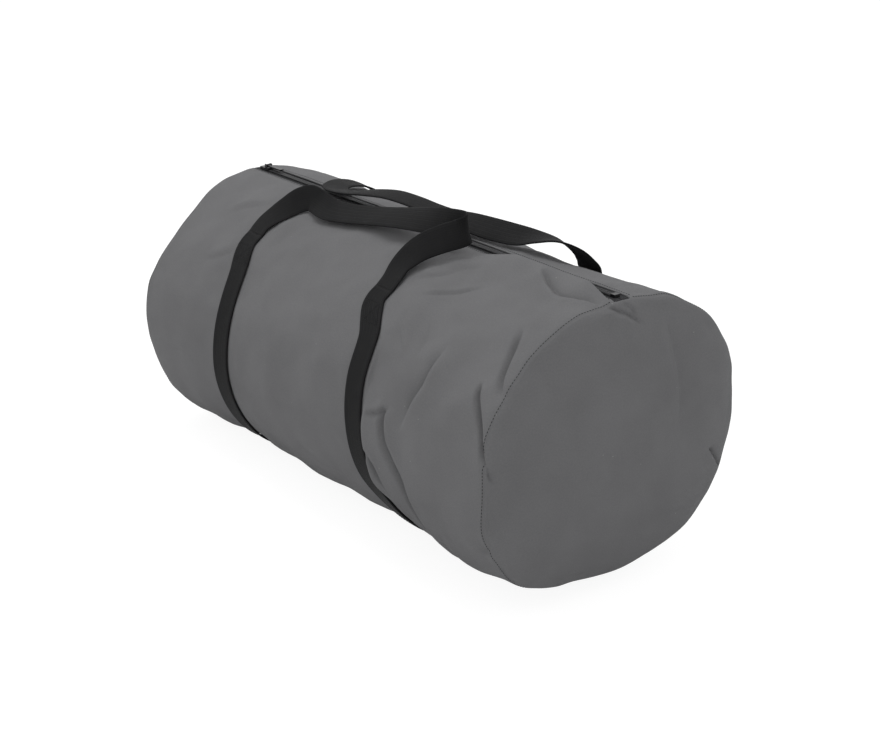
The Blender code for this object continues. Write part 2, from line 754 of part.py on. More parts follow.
def make_side_zip(name, middle):
    """A zip down an open side of the quilts, wound up with them. middle is its depth in the pack."""
    reach = SHELL_SHARE + FILLING_SHARE
    outside = -ROLL_HALF_WIDTH - SEAT_GAP
    rings = []
    for turned in roll_turns():
        rings.append([
            roll_point(outside, turned, middle - reach),
            roll_point(outside, turned, middle + reach),
            roll_point(outside - SIDE_ZIP_THICKNESS, turned, middle + reach),
            roll_point(outside - SIDE_ZIP_THICKNESS, turned, middle - reach),
        ])
    sweep(name, rings, [(0, 1, 2, 3)], "black_zip_tape")


def make_side_slider(name, middle):
    """The slider of a side zip, at the roll's outer end."""
    seat = roll_point(0, roll_turns()[-1], middle)
    outside = -ROLL_HALF_WIDTH - SEAT_GAP - SIDE_ZIP_THICKNESS - SEAT_GAP
    low = (outside - SIDE_SLIDER_THICKNESS, seat.y, seat.z - SIDE_SLIDER_HEIGHT / 2)
    high = (outside, seat.y + SIDE_SLIDER_LENGTH, seat.z + SIDE_SLIDER_HEIGHT / 2)
    points, faces = block(low, high)
    make_object(name, points, faces, "black_zip_metal", smooth=False)


def make_roll_tie(name, at):
    """A tie round the roll, which keeps it rolled up."""
    rows = (at - TIE_WIDTH / 2, at + TIE_WIDTH / 2)

    def ring(along, inset):
        """One edge of the tie, that far inside the canvas's outer face."""
        middle = Vector((along, 0, AXIS_HEIGHT))
        return [middle + out_from_axis(a) * section(-inset, a) for a in girth_angles()]

    outer = [ring(x, TIE_INSET) for x in rows]
    inner = [ring(x, TIE_INSET + TIE_THICKNESS) for x in rows]
    sheet_wall(name, outer, inner, "black_webbing", wrap=True)


def main():
    """Builds the packed sleeping bag."""
    clear_scene()
    make_body_panel()
    make_end_panel("near_end_panel", 1)
    make_end_panel("far_end_panel", -1)
    make_seam_binding("near_seam_binding", 1)
    make_seam_binding("far_seam_binding", -1)
    for name, side in (("front", -1), ("rear", 1)):
        make_zip_tape(f"zip_tape_{name}", side)
        make_zip_coil(f"zip_coil_{name}", side)
    make_zip_stop("zip_stop_near", 1)
    make_zip_stop("zip_stop_far", -1)
    make_zip_slider()
    make_pull_tab()
    for name, centre in (("left", left_centre), ("right", right_centre)):
        make_band(f"{name}_band", centre)
        make_stitch_box(f"front_{name}_stitch_box", centre, FRONT_ROOT, 1)
        make_stitch_box(f"rear_{name}_stitch_box", centre, 360 + REAR_ROOT, -1)
        make_roll_tie(f"{name}_roll_tie", centre(180))
    make_handle("front_handle", FRONT_HANDLE_RUN, FRONT_ROOT)
    make_handle("rear_handle", REAR_HANDLE_RUN, REAR_ROOT)
    make_quilts()
    half_leg = SHELL_SHARE + FILLING_SHARE + LINING_SHARE
    for name, middle in (("left", half_leg), ("right", 1 - half_leg)):
        make_side_zip(f"{name}_side_zip", middle)
        make_side_slider(f"{name}_side_zip_slider", middle)


main()
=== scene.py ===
"""The looks of a double sleeping bag, rolled up in its round canvas carry bag.

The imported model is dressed: the carry bag's canvas with its folds, its webbing, zip and stitching,
and the quilts rolled up inside. Sizes are in metres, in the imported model's frame: X runs along the
bag, its front faces -Y, and the floor under its middle is the origin. An angle called around is in
degrees, measured from the top of the bag towards its front.
"""

import logging
import math
from collections.abc import Callable, Sequence
from dataclasses import dataclass, replace
from enum import Enum

import bpy
import numpy as np
from mathutils import Matrix, Vector


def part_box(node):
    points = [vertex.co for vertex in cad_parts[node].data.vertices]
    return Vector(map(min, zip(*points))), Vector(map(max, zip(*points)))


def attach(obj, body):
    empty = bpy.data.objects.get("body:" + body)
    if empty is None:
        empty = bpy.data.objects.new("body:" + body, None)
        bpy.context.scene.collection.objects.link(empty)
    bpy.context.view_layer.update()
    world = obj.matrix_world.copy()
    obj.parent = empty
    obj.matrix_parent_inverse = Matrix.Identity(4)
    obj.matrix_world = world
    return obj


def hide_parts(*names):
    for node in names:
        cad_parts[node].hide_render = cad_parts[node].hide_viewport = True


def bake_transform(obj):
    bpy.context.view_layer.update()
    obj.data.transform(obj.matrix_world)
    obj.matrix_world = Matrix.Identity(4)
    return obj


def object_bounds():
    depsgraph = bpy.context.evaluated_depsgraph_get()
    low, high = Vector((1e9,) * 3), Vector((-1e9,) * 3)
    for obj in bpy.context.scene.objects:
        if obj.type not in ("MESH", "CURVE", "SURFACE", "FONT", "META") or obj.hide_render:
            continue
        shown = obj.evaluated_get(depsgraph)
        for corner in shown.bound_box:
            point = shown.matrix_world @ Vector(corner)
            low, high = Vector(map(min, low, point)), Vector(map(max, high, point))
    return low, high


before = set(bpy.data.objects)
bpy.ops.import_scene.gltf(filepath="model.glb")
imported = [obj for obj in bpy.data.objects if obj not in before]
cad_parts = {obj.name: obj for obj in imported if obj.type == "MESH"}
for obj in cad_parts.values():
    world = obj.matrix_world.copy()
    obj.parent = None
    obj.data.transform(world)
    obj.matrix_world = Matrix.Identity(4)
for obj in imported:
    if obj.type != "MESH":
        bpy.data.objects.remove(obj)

LOG = logging.getLogger("packed_sleeping_bag")
CAD_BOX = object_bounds()
Array = np.ndarray
Object, Material = bpy.types.Object, bpy.types.Material
Node, Socket, Tree = bpy.types.Node, bpy.types.NodeSocket, bpy.types.NodeTree
Pairs = tuple[tuple[float, float], ...]
# A sum of waves this many times its usual height counts as 1
WAVE_CREST = 1.6
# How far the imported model's round ends bulge past their seams
END_BULGE = 0.0228


class Body(Enum):
    """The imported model's bodies that a piece can ride on."""

    BAG = "bag"
    FRONT_HANDLE = "front_handle"
    REAR_HANDLE = "rear_handle"


class Slot(Enum):
    """The record's material slots."""

    CANVAS = "grey_canvas"
    WEBBING = "black_webbing"
    ZIP_TAPE = "black_zip_tape"
    COIL = "black_zip_coil"
    METAL = "black_zip_metal"
    THREAD = "black_thread"
    SHELL = "quilt_shell_canvas"
    FILLING = "quilt_filling"
    LINING = "quilt_lining"


def smooth_step(low: float, high: float, value: Array) -> Array:
    """A smooth rise from 0 at low to 1 at high.

    Args:
        low: Where the rise starts.
        high: Where the rise ends.
        value: The places to read.

    Returns:
        The rise at each place.
    """
    t = np.clip((np.asarray(value, float) - low) / (high - low), 0, 1)
    return t * t * (3 - 2 * t)


def hill(value: Array, centre: float, reach: float) -> Array:
    """A smooth hill of height 1 that ends at a reach from its centre.

    Args:
        value: The places to read.
        centre: Where the hill is highest.
        reach: How far it reaches to each side.

    Returns:
        The hill's height at each place.
    """
    return (1 + np.cos(np.pi * np.clip(np.abs(value - centre) / reach, 0, 1))) / 2


def turn_from(around: Array, centre: float) -> Array:
    """Angles relative to a centre, from -180 to 180 degrees."""
    return (np.asarray(around, float) - centre + 180) % 360 - 180


def curve_through(points: Array, steps: int) -> Array:
    """A smooth curve through points, which leaves its two ends straight off.

    Args:
        points: The points, one row each.
        steps: How many points the curve gets for each of them.

    Returns:
        The curve's points.
    """
    padded = np.concatenate([points[:1], points, points[-1:]])
    t = (np.arange(steps) / steps)[:, None]
    pieces = []
    for p0, p1, p2, p3 in zip(padded, padded[1:], padded[2:], padded[3:]):
        square = 2 * p0 - 5 * p1 + 4 * p2 - p3
        cube = 3 * p1 - p0 - 3 * p2 + p3
        pieces.append((2 * p1 + (p2 - p0) * t + square * t**2 + cube * t**3) / 2)
    return np.concatenate([*pieces, points[-1:]])


@dataclass(frozen=True)
class SmoothRun:
    """A smooth curve through (position, value) points."""

    points: Pairs

    def at(self, where: Array) -> Array:
        """The curve's value at positions, held at its first and last value beyond them.

        Args:
            where: The positions to read.

        Returns:
            The values there.
        """
        px, py = np.array(self.points, float).T
        slopes = np.empty(len(px))
        slopes[1:-1] = (py[2:] - py[:-2]) / (px[2:] - px[:-2])
        slopes[0] = (py[1] - py[0]) / (px[1] - px[0])
        slopes[-1] = (py[-1] - py[-2]) / (px[-1] - px[-2])
        where = np.clip(np.asarray(where, float), px[0], px[-1])
        k = np.clip(np.searchsorted(px, where, "right") - 1, 0, len(px) - 2)
        span = px[k + 1] - px[k]
        t = (where - px[k]) / span
        rise = (2 * t**3 - 3 * t**2 + 1) * py[k] + (3 * t**2 - 2 * t**3) * py[k + 1]
        lean = (t**3 - 2 * t**2 + t) * slopes[k] + (t**3 - t**2) * slopes[k + 1]
        return rise + span * lean


@dataclass(frozen=True)
class Waves:
    """A seeded sum of long waves, for cloth that is never quite flat."""

    seed: int
    shortest: float
    longest: float
    count: int = 26

    def at(self, u: Array, v: Array) -> Array:
        """The waves' height at places on the cloth.

        Args:
            u: Places along the cloth.
            v: Places across the cloth.

        Returns:
            Heights that are mostly between -1 and 1.
        """
        draw = np.random.default_rng(self.seed)
        total = np.zeros(np.broadcast(u, v).shape)
        for _ in range(self.count):
            length = draw.uniform(self.shortest, self.longest)
            angle, phase = draw.uniform(0, 2 * np.pi, 2)
            run = u * np.cos(angle) + v * np.sin(angle)
            total = total + np.sin(2 * np.pi * run / length + phase)
        return total / np.sqrt(self.count / 2) / WAVE_CREST


@dataclass(frozen=True)
class Crease:
    """A fold in cloth: a sharp valley, steep up to a puffed ridge on one side and gentle on the other.

    Its path is in the cloth's own places. width is how quickly the steep side rises, soft is how many
    times wider the gentle side is, ridge_side is 1 for a ridge to the left of the path's run, and
    fade is the share of the path over which each end dies away. roll, where it isn't zero, is how far
    from the valley the gentle side rolls over and falls in, as cloth does that is tucked under.
    """

    path: Pairs
    depth: float
    width: float
    ridge: float = 0.0
    ridge_side: int = -1
    fade: float = 0.30
    soft: float = 4.0
    roll: float = 0.0

    def at(self, u: Array, v: Array) -> Array:
        """How far the fold moves the cloth out at places on it.

        Args:
            u: First places on the cloth.
            v: Second places on the cloth.

        Returns:
            The move at each place, inwards where it is negative.
        """
        path = curve_through(np.array(self.path, float), 5)
        # Past so many widths, both of its sides are all but flat
        reach = self.width * max(5 * self.soft, 18)
        low, high = path.min(0) - reach, path.max(0) + reach
        inside = (u > low[0]) & (u < high[0]) & (v > low[1]) & (v < high[1])
        moved = np.zeros(np.shape(u))
        moved[inside] = self.profile(path, u[inside], v[inside])
        return moved

    def profile(self, path: Array, u: Array, v: Array) -> Array:
        """The fold's height at places near its path.

        Args:
            path: The path's points.
            u: First places on the cloth.
            v: Second places on the cloth.

        Returns:
            The height at each place.
        """
        steps = np.diff(path, axis=0)
        lengths = np.hypot(*steps.T)
        near = np.full(u.shape, np.inf)
        aside, run = np.zeros(u.shape), np.zeros(u.shape)
        for k, (step, length) in enumerate(zip(steps, lengths)):
            du, dv = u - path[k, 0], v - path[k, 1]
            t = np.clip((du * step[0] + dv * step[1]) / length**2, 0, 1)
            away = np.hypot(du - t * step[0], dv - t * step[1])
            side = np.sign(step[0] * dv - step[1] * du)
            closer = away < near
            near = np.where(closer, away, near)
            aside = np.where(closer, side * away, aside)
            run = np.where(closer, lengths[:k].sum() + t * length, run)
        total = lengths.sum()
        taper = smooth_step(0, 1, np.minimum(run, total - run) / (self.fade * total))
        across = aside * self.ridge_side
        fall = np.where(across > 0, self.width, self.width * self.soft)
        valley = -self.depth * np.exp(-np.abs(across) / fall)
        if self.roll:
            rolled = -self.depth * (1 - smooth_step(0, self.roll, -across))
            valley = np.where(across > 0, valley, rolled)
        # The ridge's crest lies four widths out from the valley
        hump = np.maximum(across, 0) / (4 * self.width)
        return (valley + self.ridge * hump**2 * np.exp(2 - 2 * hump)) * taper


@dataclass(frozen=True)
class Swell:
    """A soft bulge or hollow of the canvas, over a stretch of the bag's length and girth."""

    along: float
    around: float
    long_reach: float
    girth_reach: float
    height: float


@dataclass(frozen=True)
class Band:
    """A webbing band's course round the bag: its place along the bag, and how it strays from it."""

    name: str
    at: float
    stray: SmoothRun

    def centre(self, around: Array) -> Array:
        """Where along the bag the band's middle lies, at angles."""
        return self.at + self.stray.at(np.asarray(around, float) % 360)


@dataclass(frozen=True)
class BagForm:
    """The canvas's shape: a round section pressed flat below, drawn in at the bands, with real folds.

    A pair of numbers says where a form starts and where it is full. Each is an angle off the top or off
    the bottom, or a distance from a handle's root. The waves, the gathers, the turned seam and the lip
    are given by their heights.
    """

    radius: float = 0.165
    length: float = CAD_BOX[1].x * 2 - END_BULGE * 2
    axis_height: float = 0.145
    shoulder_radius: float = 0.110
    canvas: float = 0.0012
    slit_half_width: float = 0.010
    band_gap: float = 0.0008
    waist_depth: float = 0.0036
    waist_reach: float = 0.075
    waist_off_top: tuple[float, float] = (12.0, 34.0)
    front_root: float = 38.0
    rear_root: float = -42.0
    free_of_root: tuple[float, float] = (0.016, 0.045)
    sag_from: float = 0.200
    sag_off_top: tuple[float, float] = (7.0, 20.0)
    bulge_off_floor: tuple[float, float] = (14.0, 40.0)
    folds_off_floor: tuple[float, float] = (20.0, 36.0)
    wide_waves: float = 0.0015
    fine_waves: float = 0.00035
    band_gathers: float = 0.0011
    seam_gathers: float = 0.0012
    seam_turn: float = 0.0020
    lip_height: float = 0.0125

    def out(self, around: Array) -> Array:
        """Unit vectors square to the bag's axis, at angles."""
        turn = np.radians(around)
        return np.stack([np.zeros_like(turn), -np.sin(turn), np.cos(turn)], -1)

    def section(self, around: Array, offset: float | Array = 0.0) -> Array:
        """How far the plain section reaches from its axis.

        Args:
            around: The angles to read.
            offset: How far outside the canvas's outer face.

        Returns:
            The reach at each angle.
        """
        round_to = self.radius - self.shoulder_radius
        rise = self.axis_height - self.shoulder_radius
        aside = math.sqrt(round_to**2 - rise**2)
        shoulder_end = math.atan2(aside, rise)
        off_bottom = np.radians(np.abs(np.asarray(around, float) % 360 - 180))
        drop = self.axis_height + offset
        beside = round_to * np.sin(np.minimum(shoulder_end - off_bottom, np.pi / 2))
        shoulder = round_to * np.cos(shoulder_end - off_bottom)
        shoulder = shoulder + np.sqrt(np.maximum((self.shoulder_radius + offset) ** 2 - beside**2, 0))
        flat = drop / np.cos(np.minimum(off_bottom, 1.2))
        inner = np.where(off_bottom < np.arctan2(aside, drop), flat, shoulder)
        return np.where(off_bottom > shoulder_end, self.radius + offset, inner)

    def off_band(self, along: Array, around: Array) -> Array:
        """The distance along the bag from the nearer band's middle."""
        return np.minimum.reduce([np.abs(along - band.centre(around)) for band in BANDS])

    def waist(self, along: Array, around: Array) -> Array:
        """How far the bands draw the canvas in."""
        pull = smooth_step(*self.waist_off_top, np.abs(turn_from(around, 0)))
        return self.waist_depth * hill(self.off_band(along, around), 0, self.waist_reach) * pull

    def beside_bands(self, along: Array, around: Array) -> Array:
        """Places along the bag, shifted so that a row of them runs beside the nearer band.

        Args:
            along: The places, in straight rows.
            around: Angles.

        Returns:
            The shifted places.
        """
        around = np.asarray(around, float) % 360
        left = smooth_step(-0.322, -0.200, along) * (1 - smooth_step(-0.150, 0.010, along))
        right = smooth_step(-0.055, 0.085, along) * (1 - smooth_step(0.195, 0.331, along))
        return along + LEFT_BAND.stray.at(around) * left + RIGHT_BAND.stray.at(around) * right

    def freedom(self, along: Array, around: Array) -> Array:
        """How free the canvas is: 0 where a handle's root holds it, and 1 away from the roots.

        Args:
            along: Places along the bag.
            around: Angles.

        Returns:
            The share at each place.
        """
        nearest = np.full(np.broadcast(along, around).shape, np.inf)
        for root in (self.front_root, self.rear_root):
            for band in BANDS:
                aside = np.radians(turn_from(around, root)) * self.radius
                nearest = np.minimum(nearest, np.hypot(along - band.centre(root), aside))
        return smooth_step(*self.free_of_root, nearest)

    def shape(self, along: Array, around: Array) -> Array:
        """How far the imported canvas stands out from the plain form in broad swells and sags.

        Args:
            along: Places along the bag.
            around: Angles, from 0 to 360.

        Returns:
            The move outwards at each place.
        """
        from_top = np.abs(turn_from(around, 0))
        rim = NEAR_RIM.at(around) - self.section(around)
        total = rim * smooth_step(self.sag_from, self.length / 2, along)
        total = total * smooth_step(*self.sag_off_top, from_top)
        for swell in SWELLS:
            over = hill(along, swell.along, swell.long_reach)
            total = total + swell.height * over * hill(turn_from(around, swell.around), 0, swell.girth_reach)
        off_floor = smooth_step(*self.bulge_off_floor, np.abs(turn_from(around, 180)))
        total = np.where(total > 0, total * off_floor, total)
        return total * self.freedom(along, around)

    def folds(self, along: Array, around: Array) -> Array:
        """How far the canvas's folds and puckers stand out from its broad shape.

        Args:
            along: Places along the bag.
            around: Angles, from 0 to 360.

        Returns:
            The move outwards at each place.
        """
        girth = np.radians(around) * self.radius
        from_top = np.abs(turn_from(around, 0))
        beside = self.off_band(along, around)
        to_seam = self.length / 2 - np.abs(along)
        total = WAVES_WIDE.at(along, girth) * self.wide_waves + WAVES_FINE.at(along, girth) * self.fine_waves
        for crease in PLACED_CREASES:
            total = total + crease.at(along, girth)
        gathers = GATHER_WAVES.at(girth, along)
        at_band = self.band_gathers * gathers * hill(beside, 0.026, 0.020)
        total = total + at_band * smooth_step(20, 40, from_top)
        at_seam = np.exp(-to_seam / 0.030) * smooth_step(0.001, 0.009, to_seam)
        total = total + self.seam_gathers * gathers * at_seam * smooth_step(10, 22, from_top)
        # The bands press the canvas flat, except over the top, where the handles leave it
        loose = smooth_step(0.0155, 0.021, beside)
        loose = np.where(from_top < 30, np.maximum(loose, smooth_step(34, 26, from_top)), loose)
        off_floor = smooth_step(*self.folds_off_floor, np.abs(turn_from(around, 180)))
        edge = smooth_step(0.0, 0.012, np.radians(from_top) * self.radius - self.slit_half_width)
        return total * loose * self.freedom(along, around) * off_floor * edge

    def lip(self, along: Array, around: Array) -> Array:
        """How far the puffed lip of canvas stands out, in front of the zip's near part.

        Args:
            along: Places along the bag.
            around: Angles.

        Returns:
            The move outwards at each place.
        """
        aside = np.radians(turn_from(around, 0)) * self.radius - self.slit_half_width
        over = smooth_step(0.130, 0.205, along) * (1 - smooth_step(0.300, 0.336, along))
        profile = smooth_step(0.0, 0.0035, aside) * (1 - smooth_step(0.006, 0.050, aside))
        return self.lip_height * over * profile

    def seam_dip(self, along: Array) -> Array:
        """How far the canvas turns in at its round end seams."""
        to_seam = self.length / 2 - np.abs(along)
        return self.seam_turn * np.exp(-((to_seam / 0.0030) ** 2))

    def settled(self, along: Array, around: Array) -> Array:
        """How far the canvas would reach from the bag's axis without its folds."""
        around = np.asarray(around, float) % 360
        return self.section(around) - self.waist(along, around) + self.shape(along, around)

    def reach(self, along: Array, around: Array) -> Array:
        """How far the real canvas reaches from the bag's axis."""
        around = np.asarray(around, float) % 360
        return self.settled(along, around) + self.folds(along, around) + self.lip(along, around)

    def point(self, along: Array, around: Array, lift: float | Array = 0.0) -> Array:
        """Points over the real canvas.

        Args:
            along: Places along the bag.
            around: Angles.
            lift: How far outside the canvas's outer face.

        Returns:
            The points, one row each.
        """
        along, around = np.broadcast_arrays(np.asarray(along, float), np.asarray(around, float))
        place = self.out(around) * (self.reach(along, around) + lift)[..., None]
        place[..., 0] += along
        place[..., 2] += self.axis_height
        return place

    def on_circle(self, distance: float) -> float:
        """The angle whose place on the round is that far to the side."""
        return math.degrees(math.asin(distance / self.radius))


LEFT_BAND = Band("left", -0.174, SmoothRun((
    (38, -0.0045), (44, -0.0045), (55, 0.010), (67, 0.015), (84, 0.014), (101, 0.009),
    (122, 0.004), (150, -0.001), (180, -0.003), (318, -0.004),
)))
RIGHT_BAND = Band("right", 0.109, SmoothRun((
    (38, -0.026), (44, -0.026), (56, -0.004), (73, 0.001), (90, 0.006), (108, 0.013),
    (120, 0.027), (135, 0.041), (160, 0.052), (180, 0.055), (230, 0.064), (318, 0.072),
)))
BANDS = (LEFT_BAND, RIGHT_BAND)

# The near round seam's reach from the bag's axis: it hangs clear of the floor, and sags at the rear
NEAR_RIM = SmoothRun((
    (0, 0.161), (15, 0.167), (35, 0.1695), (55, 0.171), (67, 0.174), (78, 0.170), (88, 0.1665),
    (100, 0.169), (115, 0.167), (130, 0.163), (139, 0.153), (148, 0.141), (158, 0.1325),
    (171, 0.128), (185, 0.128), (200, 0.130), (213, 0.137), (227, 0.146), (240, 0.152),
    (250, 0.156), (262, 0.158), (272, 0.161), (288, 0.168), (298, 0.1725), (312, 0.1725),
    (326, 0.1705), (340, 0.167), (360, 0.161),
))
SWELLS = (
    Swell(-0.040, 80, 0.120, 62, 0.0035),
    Swell(-0.275, 100, 0.150, 70, 0.0060),
    Swell(-0.300, 128, 0.140, 36, 0.0045),
    Swell(-0.310, 45, 0.120, 34, -0.0085),
    Swell(-0.337, 88, 0.070, 34, 0.0025),
    Swell(-0.240, 338, 0.100, 28, 0.0040),
    Swell(0.250, 60, 0.090, 48, 0.0035),
    Swell(0.262, 134, 0.060, 26, 0.0030),
    Swell(0.200, 148, 0.058, 30, -0.0120),
    Swell(0.095, 138, 0.110, 30, -0.0050),
    Swell(0.245, 100, 0.055, 40, 0.0030),
    Swell(0.176, 106, 0.030, 26, 0.0045),
    Swell(0.020, 278, 0.150, 60, 0.0040),
    Swell(-0.270, 285, 0.140, 60, 0.0035),
    Swell(0.190, 84, 0.034, 16, -0.0030),
)
WAVES_WIDE = Waves(seed=11, shortest=0.055, longest=0.150)
WAVES_FINE = Waves(seed=23, shortest=0.020, longest=0.045)
GATHER_WAVES = Waves(seed=41, shortest=0.022, longest=0.070)
# Folds of the body panel, by place along the bag and angle
BODY_CREASES = (
    Crease(((0.165, 76), (0.170, 84), (0.178, 90), (0.190, 95.5), (0.199, 100.5), (0.206, 106.5),
            (0.214, 114), (0.223, 124), (0.232, 136), (0.240, 150)),
           0.0125, 0.0012, 0.0022, -1, 0.10, 5.0, 0.0125),
    Crease(((0.1255, 76), (0.1275, 84), (0.132, 92), (0.1365, 103), (0.142, 112), (0.156, 124)),
           0.0, 0.0018, 0.0062, -1, 0.30),
    Crease(((0.132, 84), (0.143, 82), (0.158, 80), (0.177, 76)), 0.0036, 0.0012, 0.0018, -1, 0.35, 3.0),
    Crease(((0.137, 95), (0.151, 100.5), (0.163, 107), (0.175, 115), (0.190, 127), (0.205, 140)),
           0.0100, 0.0012, 0.0026, -1, 0.14, 4.5, 0.0090),
    Crease(((0.232, 46), (0.224, 54), (0.219, 63), (0.207, 72), (0.190, 84)),
           0.0066, 0.0028, 0.0054, -1, 0.35, 4.5),
    Crease(((0.092, 29.5), (0.112, 27.5), (0.130, 24.5), (0.158, 17)), 0.0026, 0.0020, 0.0016, -1, 0.40, 4.0),
    Crease(((0.130, 36), (0.146, 33.5), (0.164, 30.5), (0.182, 27.3), (0.208, 20)),
           0.0022, 0.0010, 0.0010, -1, 0.35, 3.0),
    Crease(((0.298, 31), (0.305, 37), (0.314, 44), (0.321, 51), (0.335, 58)),
           0.0064, 0.0012, 0.0022, -1, 0.30, 5.0, 0.0090),
    Crease(((0.298, 54), (0.305, 59), (0.317, 64), (0.328, 70), (0.338, 80)),
           0.0088, 0.0012, 0.0022, -1, 0.18, 5.0, 0.0075),
    Crease(((0.238, 5), (0.256, 9.5), (0.283, 13.6), (0.300, 14.2), (0.315, 12.3), (0.324, 10), (0.338, 8.8)),
           0.0070, 0.0012, 0.0014, 1, 0.20, 7.0),
    Crease(((0.318, 114), (0.330, 111), (0.338, 109)), 0.0024, 0.0016, 0.0012, 1, 0.40),
    Crease(((0.146, 51), (0.156, 53.5), (0.168, 57)), 0.0012, 0.0016, 0.0010, -1, 0.45),
    Crease(((0.160, 41), (0.184, 45), (0.192, 52), (0.186, 60)), 0.0026, 0.0080, 0.0010, -1, 0.45, 2.0),
    Crease(((0.122, 22), (0.150, 18), (0.182, 12.5)), 0.0030, 0.0040, 0.0020, -1, 0.40, 3.0),
    Crease(((-0.272, 38), (-0.240, 28), (-0.200, 21)), 0.0022, 0.0018, 0.0014, -1, 0.45),
    Crease(((-0.246, 58), (-0.210, 52), (-0.184, 43)), 0.0022, 0.0018, 0.0014, -1, 0.45),
    Crease(((-0.142, 44), (-0.131, 34), (-0.138, 22)), 0.0018, 0.0026, 0.0012, -1, 0.45),
    Crease(((-0.020, 112), (0.026, 119), (0.070, 121)), 0.0016, 0.0030, 0.0010, -1, 0.45),
    Crease(((-0.310, 92), (-0.278, 98), (-0.232, 97)), 0.0018, 0.0030, 0.0012, -1, 0.45),
    Crease(((0.338, 257), (0.322, 256), (0.296, 251)), 0.0066, 0.0026, 0.0030, 1, 0.45),
    Crease(((0.245, 304), (0.236, 288), (0.240, 268), (0.226, 246)), 0.0056, 0.0024, 0.0034, 1, 0.35, 5.0),
    Crease(((0.148, 296), (0.122, 280), (0.112, 256)), 0.0040, 0.0022, 0.0026, -1, 0.40),
    Crease(((-0.140, 302), (-0.121, 284), (-0.126, 260)), 0.0046, 0.0022, 0.0030, -1, 0.35, 5.0),
    Crease(((-0.222, 306), (-0.248, 290), (-0.260, 268)), 0.0042, 0.0022, 0.0028, 1, 0.35, 5.0),
    Crease(((0.040, 318), (0.000, 303), (-0.045, 296)), 0.0028, 0.0024, 0.0020, -1, 0.45),
    Crease(((-0.337, 300), (-0.318, 292), (-0.285, 288)), 0.0040, 0.0020, 0.0024, 1, 0.45),
)

# The near end's folds, by reach from the bag's axis and angle
END_CREASES = (
    Crease(((0.174, 12), (0.166, 9), (0.156, 4.5), (0.147, 358), (0.136, 350)),
           0.0040, 0.0011, 0.0018, 1, 0.25, 2.0),
    Crease(((0.166, 3), (0.154, 357), (0.143, 354)), 0.0016, 0.0012, 0.0010, -1, 0.35, 2.0),
    Crease(((0.158, 345), (0.140, 337), (0.118, 328), (0.096, 316), (0.078, 296), (0.072, 270)),
           0.0038, 0.0040, 0.0020, 1, 0.30, 4.5),
    Crease(((0.116, 263), (0.126, 260), (0.138, 256), (0.157, 251)), 0.0060, 0.0014, 0.0020, 1, 0.25, 2.2),
    Crease(((0.178, 66), (0.172, 74), (0.165, 80), (0.156, 86)), 0.0048, 0.0011, 0.0020, -1, 0.25, 2.6),
    Crease(((0.160, 120), (0.120, 112), (0.080, 125)), 0.0018, 0.0070, 0.0010, 1, 0.45),
    Crease(((0.120, 60), (0.090, 30), (0.105, 5)), 0.0020, 0.0070, 0.0012, 1, 0.45),
    Crease(((0.090, 205), (0.108, 226), (0.140, 240)), 0.0024, 0.0050, 0.0014, -1, 0.45),
    Crease(((0.158, 40), (0.138, 44), (0.122, 38)), 0.0014, 0.0040, 0.0010, -1, 0.45),
)


def flat_creases(creases: Sequence[Crease], place: Callable[..., tuple[float, float]]) -> list[Crease]:
    """Folds with their paths turned from angles into places on the flat cloth.

    Args:
        creases: The folds.
        place: Gives the flat place of a path's two numbers.

    Returns:
        The folds on the flat cloth.
    """
    return [replace(crease, path=tuple(place(*point) for point in crease.path)) for crease in creases]


PLACED_CREASES = flat_creases(BODY_CREASES, lambda x, a: (x, math.radians(a) * BagForm.radius))
FORM = BagForm()


def lowest_near(values: Array, reach: int) -> Array:
    """The lowest value within a few rows and columns of each place in a grid.

    Args:
        values: The grid.
        reach: How many rows and columns to each side.

    Returns:
        The lowest values.
    """
    padded = np.pad(values, reach, mode="edge")
    rows, columns = values.shape
    shifts = range(2 * reach + 1)
    low = np.minimum.reduce([padded[k:k + rows] for k in shifts])
    return np.minimum.reduce([low[:, k:k + columns] for k in shifts])


def placed(name: str, data: bpy.types.ID) -> Object:
    """A new object at the origin, in the scene.

    Args:
        name: Its name.
        data: Its mesh, light or camera.

    Returns:
        The object.
    """
    made = bpy.data.objects.new(name, data)
    bpy.context.scene.collection.objects.link(made)
    return made


